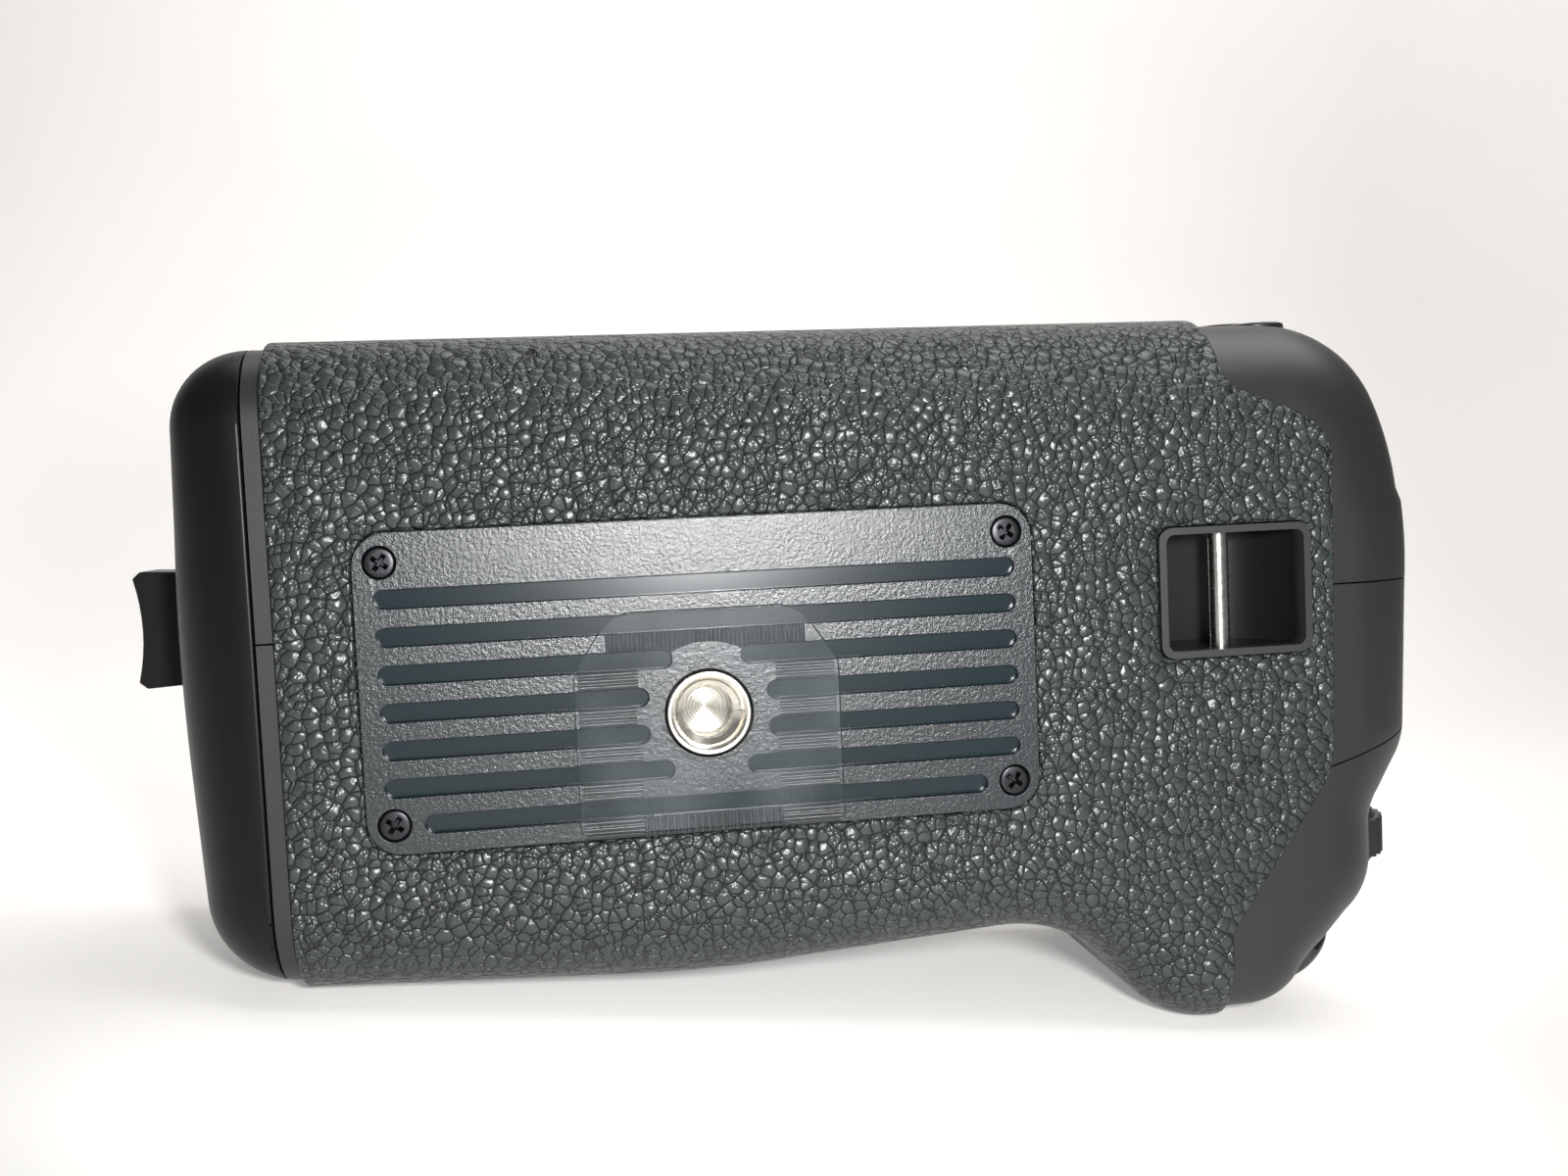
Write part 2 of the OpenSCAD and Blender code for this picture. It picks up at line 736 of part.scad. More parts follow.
// A post under the deck, with a stake that holds a plate of thickness t whose lower face is at y
module staked(x, z, y, t) {
    rod_y(x, z, stake_r + post_shell, y + t, deck_y);
    rod_y(x, z, stake_r, y - stake_out, y + t);
}
module top_deck() {
    color("#1d1d1f") difference() {
        union() {
            along_y(deck_y, body_h) polygon(grown(outline, -deck_rim));
            for (p = board_posts) staked(p.x, p.y, board_y, board_t);
            for (s = [-1, 1]) staked(s * stake_x, stake_z, bracket_y, bracket_t);
        }
        block([-far, -far, -far], [cap_x + seam, far, far]);
        rod_y(0, 0, journal_r + run, 0, far);
        rod_y(-pin_x, 0, pin_r - pin_step + run, 0, far);
        rod_y(-pin_x, 0, pin_r + fit, body_h - pin_relief, far);
        rod_y(0, wheel_z, axle_r + run, 0, body_h - axle_cover);
        along_y(0, far) translate([post_x, -post_z])
            soft_rect(post_w + 2 * fit, post_l + 2 * fit, post_r + fit);
        for (p = concat(rear_bosses, front_bosses)) {
            rod_y(p.x, p.y, screw_r + fit, 0, far);
            rod_y(p.x, p.y, deck_head_r + fit, body_h - deck_head_t, far);
        }
    }
}

module deck_screws() {
    color("#3a3a3c") for (p = concat(rear_bosses, front_bosses)) {
        rod_y(p.x, p.y, deck_head_r, body_h - deck_head_t, body_h - 0.1);
        rod_y(p.x, p.y, screw_r, deck_y - boss_h + 1, body_h - deck_head_t);
    }
}

// Battery post: two mouldings that meet along its middle and hang from the deck by a flange
post_r = 2.5;
post_top = body_h + post_h;
blade_w = 1.2;
blade_l = 4;
blade_pitch = 4;
blade_in = 6;
module battery_post() {
    difference() {
        union() {
            along_y(deck_y - flange_w, post_top) translate([post_x, -post_z])
                soft_rect(post_w, post_l, post_r);
            along_y(deck_y - flange_w, deck_y) translate([post_x, -post_z])
                soft_rect(post_w + 2 * flange_w, post_l + 2 * flange_w, post_r);
        }
        along_y(0, post_top - post_wall) translate([post_x, -post_z])
            soft_rect(post_w - 2 * post_wall, post_l - 2 * post_wall, post_r - post_wall);
        blades(fit, 1);
    }
}
module battery_post_left() {
    color("#1e1e20") intersection() {
        battery_post();
        block([-far, -far, -far], [post_x - seam / 2, far, far]);
    }
}
module battery_post_right() {
    color("#1e1e20") intersection() {
        battery_post();
        block([post_x + seam / 2, -far, -far], [far, far, far]);
    }
}
module blades(grow, out) {
    for (i = [0:3])
        translate([post_x + blade_l / 2 + post_wall, post_top - post_wall - blade_in,
            4 - post_l / 2 - post_z + i * blade_pitch])
        block([-blade_l / 2 - grow, 0, -blade_w / 2 - grow],
            [blade_l / 2 + grow, blade_in + 1 + out, blade_w / 2 + grow]);
}
module post_contacts() {
    color("#c9a24a") blades(0, 0);
}

pin_step = 0.25;
pin_relief = 0.3;
module locating_pin() {
    color("#b8b9bb") {
        rod_y(-pin_x, 0, pin_r, body_h, body_h + pin_h);
        rod_y(-pin_x, 0, pin_r - pin_step, deck_y - stake_out, body_h);
    }
}

// Gears with involute flanks
function involute(a) = tan(a) * 180 / PI - a;
function gear_points(n, m, slack) =
    let (r = n * m / 2, base = r * cos(20))
    let (radii = [for (k = [0:3]) base + (r + m - base) * k / 3])
    let (half = function (q) 90 / n + involute(20) - involute(acos(min(1, base / q))) - slack / r * 90 / PI)
    [for (i = [0:n - 1]) let (mid = 360 * i / n + 90) each concat(
        [(r - 1.25 * m) * [cos(mid - half(base)), sin(mid - half(base))]],
        [for (q = radii) q * [cos(mid - half(q)), sin(mid - half(q))]],
        [for (k = [3:-1:0]) let (q = radii[k]) q * [cos(mid + half(q)), sin(mid + half(q))]],
        [(r - 1.25 * m) * [cos(mid + half(base)), sin(mid + half(base))]])];
function knurl(n, r, depth) = [for (i = [0:n - 1]) for (k = [0:1])
    let (a = 360 * (i + k / 2) / n) (r - k * depth) * [cos(a), sin(a)]];
backlash = 0.16;

module camera_screw() {
    color("#a9abae") {
        rod_y(0, 0, stud_r, deck_y, body_h + stud_h);
        rod_y(0, 0, journal_r, gear_y + gear_t, body_h);
        rod_y(0, 0, journal_r + 2, gear_y + gear_t, deck_y - fit);
        rod_y(0, 0, spindle_r, bracket_y, deck_y);
    }
}
module screw_gear() {
    color("#c8b273") difference() {
        along_y(gear_y, gear_y + gear_t) polygon(gear_points(stud_n, tooth_m, backlash));
        rod_y(0, 0, spindle_r + run, 0, far);
    }
}

module attachment_wheel() {
    color("#202022") difference() {
        translate([0, 0, wheel_z]) union() {
            along_y(rim_y, rim_y + rim_t) polygon(knurl(wheel_knurls, wheel_r, wheel_knurl_t));
            along_y(rim_y + rim_t - 0.1, gear_y + gear_t)
                rotate(wheel_n % 2 == 0 ? 180 / wheel_n : 0)
                polygon(gear_points(wheel_n, tooth_m, backlash));
        }
        rod_y(0, wheel_z, axle_r + run, 0, far);
    }
}
module wheel_axle() {
    color("#b0b2b5") rod_y(0, wheel_z, axle_r, bracket_y - stake_out, body_h - axle_cover);
}

module gear_bracket() {
    color("#93969a") difference() {
        along_y(bracket_y, bracket_y + bracket_t) {
            translate([0, wheel_z / 2]) soft_rect(2 * arm_w, wheel_z + 2 * arm_end, arm_r);
            translate([0, stake_z]) soft_rect(2 * stake_x + 2 * arm_r, 2 * arm_r, arm_r - 1);
        }
        rod_y(0, 0, spindle_r + run, 0, far);
        rod_y(0, wheel_z, axle_r + run, 0, far);
        for (s = [-1, 1]) rod_y(s * stake_x, stake_z, stake_r + run, 0, far);
    }
}

// Chamber: an open box behind the end cap, with a slot in its roof for the bolt
module battery_chamber() {
    color("#2b2b2e") difference() {
        block([cap_x + 2 * seam, chamber_y - chamber_wall, chamber_front],
            [chamber_end + chamber_wall, chamber_top + chamber_wall, chamber_rear]);
        block([-far, chamber_y, chamber_mid - chamber_half],
            [chamber_end, chamber_top, chamber_mid + chamber_half]);
        block([chamber_end - 1, handle_y - 5, chamber_mid - 10], [far, handle_y + 5, chamber_mid + 10]);
        block([tab_x - glide, chamber_top - 1, handle_z - tab_w / 2 - 1],
            [tab_x + tab_t + glide, far, handle_z + tab_room + 2 * glide]);
    }
}

module contact_block() {
    color("#303034") difference() {
        block([chamber_end + chamber_wall, handle_y - 6, chamber_mid - 11],
            [chamber_end + chamber_wall + 3, handle_y + 6, chamber_mid + 11]);
        for (i = [0:3]) leaf(i, fit);
    }
}
module leaf(i, grow) {
    translate([0, handle_y, chamber_mid + (i - 1.5) * 5])
        block([tray_end + leaf_t + 0.1, -3 - grow, -1 - grow],
            [chamber_end + chamber_wall + 2, 3 + grow, 1 + grow]);
}
module contact_leaves() {
    color("#cda64e") for (i = [0:3]) leaf(i, 0);
}

// The mouth of the chamber, where the tray's head sits in the cap
module mouth(grow) {
    translate([(mouth_y[0] + mouth_y[1]) / 2, (mouth_z[0] + mouth_z[1]) / 2])
        soft_rect(mouth_y[1] - mouth_y[0] + 2 * grow, mouth_z[1] - mouth_z[0] + 2 * grow, mouth_r);
}

// Magazine: a tray with two bays, open towards the deck, on the end cap
module magazine_tray() {
    color("#2a2a2d") difference() {
        union() {
            block([cap_x - 0.1, tray_y, chamber_mid - tray_half],
                [tray_end, tray_top, chamber_mid + tray_half]);
            along_x(cap_x - head_t, cap_x) mouth(-fit);
        }
        for (x = bay_x) block([x, tray_y + tray_wall, chamber_mid - tray_half + tray_wall],
            [x + bay_w, far, chamber_mid + tray_half - tray_wall]);
        block([cap_x, tray_y + tray_wall, chamber_mid - tray_half + tray_wall],
            [cap_x + latch_room, far, chamber_mid + tray_half - tray_wall]);
        along_x(-far, cap_x + 1) translate([handle_y, handle_z]) circle(bolt_r + 0.4);
        for (p = cap_holes) {
            along_x(-far, cap_x) translate(p) circle(screw_r + fit);
            along_x(cap_x - cap_head_t, far) translate(p) circle(cap_head_r + fit);
        }
    }
}
module magazine_terminals() {
    color("#d0ab55") for (i = [0:3])
        block([tray_end, handle_y - 4, chamber_mid + (i - 1.5) * 5 - 1.4],
            [tray_end + leaf_t, handle_y + 4, chamber_mid + (i - 1.5) * 5 + 1.4]);
}

// Blades at the front of each bay meet the pack's own contacts
bay_blade = [0.8, 4, 1.6];
module bay_contacts() {
    color("#d0ab55") for (x = bay_x) for (i = [-1:1])
        translate([x + bay_w / 2 + i * 5, tray_y + tray_wall + pack_t / 2,
            chamber_mid - tray_half + tray_wall])
            block([-bay_blade.x / 2, -bay_blade.y / 2, 0], [bay_blade.x / 2, bay_blade.y / 2, bay_blade.z]);
}

// Four bosses inside the cap carry the tray
cap_holes = [for (y = [mouth_y[0] + 4, mouth_y[1] - 4]) for (z = [mouth_z[0] + 5, mouth_z[1] - 5]) [y, z]];
cap_head_r = 1.6;
cap_head_t = 1;
module magazine_cap() {
    color("#161618") difference() {
        union() {
            difference() {
                intersection() {
                    form(0, body_h);
                    block([-far, -far, -far], [cap_x, far, far]);
                }
                intersection() {
                    form(cap_skin, body_h);
                    along_x(pocket_x, cap_x + 1) mouth(0);
                }
            }
            for (p = cap_holes) along_x(pocket_x - 0.5, cap_x - head_t) translate(p) circle(boss_r);
        }
        along_x(-far, foot_floor) translate([handle_y, handle_z]) circle(foot_r + glide);
        along_x(-far, cap_x) translate([handle_y, handle_z]) circle(bolt_r + run);
        for (p = cap_holes) along_x(pocket_x - 0.4, cap_x) translate(p) circle(screw_r + fit);
    }
}
module cap_screws() {
    color("#4a4a4d") for (p = cap_holes) {
        along_x(pocket_x, cap_x - cap_head_t / 2) translate(p) circle(screw_r);
        along_x(cap_x - cap_head_t, cap_x) translate(p) circle(cap_head_r);
    }
}

// Release handle: a waisted bar on a round foot, with the bolt that reaches behind the chamber's roof
module release_handle() {
    outer = cap_face - handle_out;
    half = handle_l / 2;
    arc = [for (i = [0:8])
        let (t = i / 4 - 1)
        [outer + handle_dip * (1 - t * t), handle_z - t * (half - 0.7)]];
    color("#19191b") {
        along_x(foot_floor - foot_t - 0.1, foot_floor - 0.1) translate([handle_y, handle_z]) circle(foot_r);
        along_y(handle_y - handle_t / 2, handle_y + handle_t / 2) polygon(concat(
            [[foot_floor - foot_t, handle_z + half - 0.3], [outer + 0.8, handle_z + half]], arc,
            [[outer + 0.8, handle_z - half], [foot_floor - foot_t, handle_z - half + 0.3]]));
    }
}
module latch_bolt() {
    color("#9da0a4") {
        along_x(foot_floor - 0.1, tab_x + tab_t) translate([handle_y, handle_z]) circle(bolt_r);
        along_x(tab_x, tab_x + tab_t + nut_t) translate([handle_y, handle_z]) circle(bolt_r / 2);
        block([tab_x, handle_y - tab_w / 2, handle_z],
            [tab_x + tab_t, handle_y + tab_w / 2, handle_z + tab_l]);
    }
}

nut_t = 1;
module bolt_nut() {
    color("#a5a8ab")
    along_x(tab_x + tab_t, tab_x + tab_t + nut_t) translate([handle_y, handle_z]) difference() {
        circle(bolt_r + 0.4, $fn = 6);
        circle(bolt_r / 2 + run);
    }
}

// Boards and switches
board_y = deck_y - 6;
board_x = [chamber_end + chamber_wall + 1.4, post_x + post_w / 2 + flange_w + 4.5];
board_zs = [-11, 26];
part_l = 10;
part_w = 4;
part_t = 1.6;
board_posts = [for (x = [board_x[0] + 2, board_x[1] - 2])
    for (z = [board_zs[0] + 2, board_zs[1] - 2]) [x, z]];
module main_board() {
    color("#1f4a33") difference() {
        block([board_x[0], board_y, board_zs[0]], [board_x[1], board_y + board_t, board_zs[1]]);
        for (p = board_posts) rod_y(p.x, p.y, stake_r + run, 0, far);
    }
}
module board_parts() {
    color("#232326") {
        translate([board_x[0] + 2 * part_w, board_y - part_t, 2 * part_w]) cube([part_l, part_t, part_l]);
        translate([board_x[0] + part_w, board_y - 2.5 * part_t, -1.5 * part_w])
            cube([part_w, 2.5 * part_t, part_l]);
        translate([board_x[1] - 2.5 * part_w, board_y - part_t, -2 * part_w]) cube([part_w, part_t, part_l]);
    }
}

module at_shutter() {
    translate([shutter_at.x, shutter_y, shutter_at.y]) rotate([0, face_angle, 0]) children();
}
module shutter_bracket() {
    color("#2c2c2f") at_shutter() {
        translate([-1.4, -4, -bracket_in - bracket_t]) cube([6, shutter_r + tail_l + 4, bracket_t]);
        for (y = [3, tail_l - 2]) translate([2, shutter_r + y, -bracket_in])
            cylinder(r = stake_r, h = bracket_in - wall - run);
    }
}
module shutter_switch() {
    color("#38383c") at_shutter() {
        translate([-1.4, -3, -bracket_in]) cube([5, 6, bracket_in - switch_top - 0.8]);
        translate([0, 0, -switch_top - 0.9]) cylinder(r = 1.2, h = 0.9);
    }
}
module shutter_button() {
    color("#0c0c0e") at_shutter() {
        rotate_extrude() polygon(concat(
            [[0, -wall - 1.6], [1.6, -wall - 1.6], [1.6, -wall - 0.2 - ear_t / 2],
                [shutter_r, -wall - 0.2 - ear_t / 2]],
            [for (i = [0:8]) let (a = 90 * i / 8)
                [shutter_r - 0.8 + 0.8 * cos(a * 0.8), shutter_out - 0.8 + 0.8 * sin(a * 0.8)]],
            [[shutter_r * 0.6, shutter_out + 0.25], [0, shutter_out + 0.4]]));
        translate([-1.6, -shutter_r - 1, -wall - 0.2 - ear_t]) cube([3.2, 2 * shutter_r + 2, ear_t]);
    }
}

dial_rib = 0.5;
dial_edge = 1.6;
module main_dial() {
    core = dial_l - 2 * dial_edge;
    wide = dial_r - dial_rib - 0.2;
    narrow = dial_r - dial_rib - 1.3;
    color("#141416") translate([dial_x, dial_y, dial_z]) difference() {
        union() {
            along_z(-core / 2, core / 2) polygon(knurl(dial_n, dial_r, dial_rib));
            translate([0, 0, core / 2]) cylinder(r1 = wide, r2 = narrow, h = dial_edge);
            translate([0, 0, -dial_l / 2]) cylinder(r1 = narrow, r2 = wide, h = dial_edge);
        }
        cylinder(r = dial_pin_r + run, h = far, center = true);
    }
}
module dial_pin() {
    color("#b0b2b5") translate([dial_x, dial_y, dial_z])
        cylinder(r = dial_pin_r, h = dial_l + 2 * (cheek_gap + cheek_t), center = true);
}
module dial_encoder() {
    color("#303033") translate([dial_x, dial_y, dial_z + dial_l / 2 + cheek_gap + cheek_t])
        block([-5, -4, 0], [0.2, 4, 2.4]);
}

module rear_button(i) {
    color("#1a1a1c") translate([button_x, button_ys[i], 0]) {
        along_z(button_face - wall - 0.2, button_face + button_outs[i]) circle(button_r);
        along_z(button_face - wall - 0.2 - lip_t, button_face - wall - 0.2) circle(button_r + lip_w);
    }
}
module af_point_button() {
    rear_button(0);
}
module ae_lock_button() {
    rear_button(1);
}
module af_on_button() {
    rear_button(2);
}
module button_board() {
    color("#1f4a33") translate([button_x, button_ys[1], board_z])
        block([-5, -button_pitch - 5, 0], [5, button_pitch + 5, board_t]);
}
module button_switches() {
    color("#3a3a3e") for (y = button_ys) translate([button_x, y, board_z + board_t]) {
        block([-2.3, -2.3, 0], [2.3, 2.3, 1.4]);
        cylinder(r = 1, h = plunger_h);
    }
}

module power_knob() {
    color("#202023") {
        block([knob_face - wall - glide - slider_t, knob_y - knob_l / 2, knob_z - knob_w / 2],
            [knob_face + knob_out, knob_y + knob_l / 2, knob_z + knob_w / 2]);
        block([knob_face - wall - glide - slider_t, knob_y - knob_l / 2 - slot_end, knob_z - knob_w / 2 - 1],
            [knob_face - wall - glide, knob_y + knob_l / 2 + slot_end, knob_z + knob_w / 2 + 1]);
    }
}
module power_switch() {
    color("#36363a") block([knob_face - switch_in - switch_t, switch_y0, knob_z - switch_w / 2],
        [knob_face - switch_in, switch_y0 + switch_l, knob_z + switch_w / 2]);
}

rear_shell();
front_shell();
control_cover();
grip_skin();
tripod_plate();
plate_screws();
base_chassis();
tripod_socket();
socket_film();
strap_bezel();
strap_bar();
top_deck();
deck_screws();
battery_post_left();
battery_post_right();
post_contacts();
locating_pin();
gear_bracket();
wheel_axle();
battery_chamber();
contact_block();
contact_leaves();
main_board();
board_parts();
shutter_bracket();
shutter_switch();
dial_pin();
dial_encoder();
button_board();
button_switches();
power_switch();
magazine_tray();
magazine_terminals();
bay_contacts();
magazine_cap();
cap_screws();
release_handle();
latch_bolt();
bolt_nut();
camera_screw();
screw_gear();
attachment_wheel();
shutter_button();
main_dial();
af_point_button();
ae_lock_button();
af_on_button();
power_knob();
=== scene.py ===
import math

import bmesh
import bpy
from mathutils import Matrix, Vector


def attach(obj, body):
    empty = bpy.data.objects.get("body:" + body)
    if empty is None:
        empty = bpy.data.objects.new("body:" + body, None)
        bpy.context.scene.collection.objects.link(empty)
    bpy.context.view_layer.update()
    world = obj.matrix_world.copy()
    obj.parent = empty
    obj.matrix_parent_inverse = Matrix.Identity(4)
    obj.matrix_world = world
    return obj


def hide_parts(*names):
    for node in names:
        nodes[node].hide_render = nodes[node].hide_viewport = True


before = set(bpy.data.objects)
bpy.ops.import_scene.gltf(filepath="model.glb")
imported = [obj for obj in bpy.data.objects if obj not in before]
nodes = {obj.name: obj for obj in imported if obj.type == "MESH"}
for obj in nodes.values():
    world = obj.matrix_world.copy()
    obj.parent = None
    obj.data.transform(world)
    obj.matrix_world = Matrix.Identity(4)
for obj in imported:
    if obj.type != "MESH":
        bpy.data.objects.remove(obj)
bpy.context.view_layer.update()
scene = bpy.context.scene
scene.view_settings.view_transform = "Standard"
mm = 0.001
far = 200  # in mm, past every side of the part
fineSides = 96
print("frame loaded")


# Materials

def hexColour(code):
    channels = [int(code[i:i + 2], 16) / 255 for i in (1, 3, 5)]
    return [c / 12.92 if c <= 0.04045 else ((c + 0.055) / 1.055) ** 2.4 for c in channels] + [1]


def addNode(tree, kind, inputs, **properties):
    node = tree.nodes.new("ShaderNode" + kind)
    for name, value in properties.items():
        setattr(node, name, value)
    for key, value in inputs.items():
        if isinstance(value, bpy.types.NodeSocket):
            tree.links.new(value, node.inputs[key])
        else:
            node.inputs[key].default_value = value
    return node


def newMaterial(name, settings):
    material = bpy.data.materials.new(name)
    material.use_nodes = True
    shader = material.node_tree.nodes["Principled BSDF"]
    for key, value in settings.items():
        shader.inputs[key].default_value = value
    coords = addNode(material.node_tree, "TexCoord", {}).outputs["Object"]
    return material, material.node_tree, shader, coords


# Synthetic rubber with a leather grain: close-set rounded lumps that catch the light, parted by fine creases
# whose darker colour is painted shade, with smaller folds in patches
rubberLook = {
    "lump": 1.2, "fold": 0.66, "foldRise": 0.55, "patch": 2.5, "bend": 0.6, "bendSize": 1.3, "depth": 0.34,
    "domeReach": 0.7, "creaseWidth": 0.09, "creaseDepth": 0.3, "creaseShade": "#121514", "top": "#2f3635"}
rubber, tree, shader, coords = newMaterial("pebbledRubber", {"Roughness": 0.34, "IOR": 1.5})
bend = addNode(tree, "TexNoise", {
    "Vector": coords, "Scale": 1 / (rubberLook["bendSize"] * mm), "Detail": 2.0})
bent = addNode(tree, "VectorMath", {
    0: bend.outputs["Color"], 1: (rubberLook["bend"] * mm,) * 3, 2: coords},
    operation="MULTIPLY_ADD").outputs[0]
domes = []
for size, rise in ((rubberLook["lump"], 1.0), (rubberLook["fold"], rubberLook["foldRise"])):
    cells = addNode(tree, "TexVoronoi", {"Vector": bent, "Scale": 1 / (size * mm)}, feature="F1")
    square = addNode(tree, "Math", {0: cells.outputs["Distance"], 1: 2.0}, operation="POWER")
    dome = addNode(tree, "Math", {
        0: square.outputs[0], 1: -rise / rubberLook["domeReach"], 2: rise}, operation="MULTIPLY_ADD")
    domes.append(dome.outputs[0])
edges = addNode(tree, "TexVoronoi", {
    "Vector": bent, "Scale": 1 / (rubberLook["lump"] * mm)}, feature="DISTANCE_TO_EDGE")
clear = addNode(tree, "MapRange", {
    "Value": edges.outputs["Distance"], "From Min": 0.0, "From Max": rubberLook["creaseWidth"]},
    interpolation_type="SMOOTHSTEP").outputs[0]
patch = addNode(tree, "TexNoise", {"Vector": coords, "Scale": 1 / (rubberLook["patch"] * mm), "Detail": 1.0})
folded = addNode(tree, "MapRange", {"Value": patch.outputs[0], "From Min": 0.4, "From Max": 0.6}).outputs[0]
rounds = addNode(tree, "Math", {0: domes[1], 1: folded, 2: domes[0]}, operation="MULTIPLY_ADD")
height = addNode(tree, "Math", {
    0: clear, 1: rubberLook["creaseDepth"], 2: rounds.outputs[0]}, operation="MULTIPLY_ADD")
bump = addNode(tree, "Bump", {
    "Height": height.outputs[0], "Distance": rubberLook["depth"] * mm, "Strength": 1.0})
# Painted shade: the creases are coloured darker than the lump tops, following the crease mask
tone = addNode(tree, "MixRGB", {
    "Fac": clear, "Color1": hexColour(rubberLook["creaseShade"]), "Color2": hexColour(rubberLook["top"])})
tree.links.new(bump.outputs[0], shader.inputs["Normal"])
tree.links.new(tone.outputs[0], shader.inputs["Base Color"])


# Moulded polycarbonate with a spark-eroded grain: an even satin black with a fine sparkle
def grainedPlastic(name, colour, roughness, grainSize, depth, gloss=0.5):
    material, tree, shader, coords = newMaterial(name, {
        "Base Color": hexColour(colour), "Roughness": roughness, "IOR": 1.55, "Specular IOR Level": gloss})
    noise = addNode(tree, "TexNoise", {"Vector": coords, "Scale": 1 / (grainSize * mm), "Detail": 3.0})
    bump = addNode(tree, "Bump", {"Height": noise.outputs[0], "Distance": depth * mm, "Strength": 1.0})
    tree.links.new(bump.outputs[0], shader.inputs["Normal"])
    return material


shellPlastic = grainedPlastic("grainedPolycarbonate", "#1e1e1d", 0.46, 0.3, 0.012)
capPlastic = grainedPlastic("satinPolycarbonate", "#0b0b0b", 0.4, 0.4, 0.004, 0.22)
innerPlastic = grainedPlastic("mattNylon", "#1a1a1b", 0.6, 0.3, 0.006)
controlPlastic = grainedPlastic("blackAcetal", "#161617", 0.4, 0.25, 0.004)
boardParts = grainedPlastic("mouldedEpoxy", "#1c1c20", 0.5, 0.2, 0.004)

# The strap well is polycarbonate too: grained on its rim, smoother down in the well, and coloured darker
# there as painted shade
wellLook = {
    "rim": "#2b2c2b", "inside": "#161717", "from": 0.0, "to": 1.6, "rimShine": 0.42, "insideShine": 0.3}
wellPlastic, tree, shader, coords = newMaterial("polishedWellPolycarbonate", {"IOR": 1.55})
split = addNode(tree, "SeparateXYZ", {0: coords})
inside = addNode(tree, "MapRange", {
    "Value": split.outputs["Y"], "From Min": wellLook["from"] * mm,
    "From Max": wellLook["to"] * mm}).outputs[0]
# Painted shade: the colour darkens from the rim down into the well
tone = addNode(tree, "MixRGB", {
    "Fac": inside, "Color1": hexColour(wellLook["rim"]), "Color2": hexColour(wellLook["inside"])})
shine = addNode(tree, "MapRange", {
    "Value": inside, "To Min": wellLook["rimShine"], "To Max": wellLook["insideShine"]})
tree.links.new(tone.outputs[0], shader.inputs["Base Color"])
tree.links.new(shine.outputs[0], shader.inputs["Roughness"])

# Moulded plate of filled polycarbonate: sand-blasted ribs that sparkle, smooth blue-black groove floors, and
# fine serrations round the socket that break the light into lines, their valleys on the ribs coloured darker
# as painted shade.
# A zone of serrations is given by its nearest and farthest X to either side, its lowest and highest Z and
# its pitch
plateLook = {
    "grain": 0.42, "depth": 0.075, "rib": "#24292b", "floor": "#132126", "valleyShade": "#101314",
    "ribShine": 0.27, "floorShine": 0.2, "ribAt": -0.4, "floorAt": -0.1, "lineDepth": 0.12, "clearOf": 7.2,
    "upright": [(0, 10, 5.9, 9.2, 0.44), (0, 7, -12.4, -10, 0.7)], "level": [(6.9, 12.9, -12.4, 4.9, 0.617)]}
platePlastic, tree, shader, coords = newMaterial("sandBlastedPolycarbonate", {"IOR": 1.55})
split = addNode(tree, "SeparateXYZ", {0: coords})
along, out, up = split.outputs["X"], split.outputs["Y"], split.outputs["Z"]
floorMask = addNode(tree, "MapRange", {
    "Value": out, "From Min": plateLook["ribAt"] * mm, "From Max": plateLook["floorAt"] * mm})
ribOnly = addNode(tree, "Math", {0: 1.0, 1: floorMask.outputs[0]}, operation="SUBTRACT")
aside = addNode(tree, "Math", {0: along}, operation="ABSOLUTE").outputs[0]
flatPlace = addNode(tree, "VectorMath", {0: coords, 1: (1, 0, 1)}, operation="MULTIPLY")
reach = addNode(tree, "VectorMath", {0: flatPlace.outputs[0]}, operation="LENGTH")
awayFromSocket = addNode(tree, "Math", {
    0: reach.outputs["Value"], 1: plateLook["clearOf"] * mm}, operation="GREATER_THAN")
total = None
zones = [(along, zone) for zone in plateLook["upright"]] + [(up, zone) for zone in plateLook["level"]]
for way, (near, wide, low, high, pitch) in zones:
    wave = addNode(tree, "Math", {0: way, 1: 2 * math.pi / (pitch * mm)}, operation="MULTIPLY")
    part = addNode(tree, "Math", {0: wave.outputs[0]}, operation="SINE").outputs[0]
    limits = [
        (aside, wide, "LESS_THAN"), (aside, near, "GREATER_THAN"), (up, low, "GREATER_THAN"),
        (up, high, "LESS_THAN")]
    for value, limit, test in limits:
        inside = addNode(tree, "Math", {0: value, 1: limit * mm}, operation=test)
        part = addNode(tree, "Math", {0: part, 1: inside.outputs[0]}, operation="MULTIPLY").outputs[0]
    if total is None:
        total = part
    else:
        total = addNode(tree, "Math", {0: total, 1: part}, operation="ADD").outputs[0]
serration = addNode(tree, "Math", {0: total, 1: awayFromSocket.outputs[0]}, operation="MULTIPLY")
blast = addNode(tree, "TexNoise", {
    "Vector": coords, "Scale": 1 / (plateLook["grain"] * mm), "Detail": 4.0, "Roughness": 0.65})
grainHeight = addNode(tree, "Math", {0: blast.outputs[0], 1: plateLook["depth"]}, operation="MULTIPLY")
height = addNode(tree, "Math", {
    0: serration.outputs[0], 1: plateLook["lineDepth"] / 2, 2: grainHeight.outputs[0]},
    operation="MULTIPLY_ADD")
ribHeight = addNode(tree, "Math", {0: height.outputs[0], 1: ribOnly.outputs[0]}, operation="MULTIPLY")
bump = addNode(tree, "Bump", {"Height": ribHeight.outputs[0], "Distance": 1 * mm, "Strength": 1.0})
tone = addNode(tree, "MixRGB", {
    "Fac": floorMask.outputs[0], "Color1": hexColour(plateLook["rib"]),
    "Color2": hexColour(plateLook["floor"])})
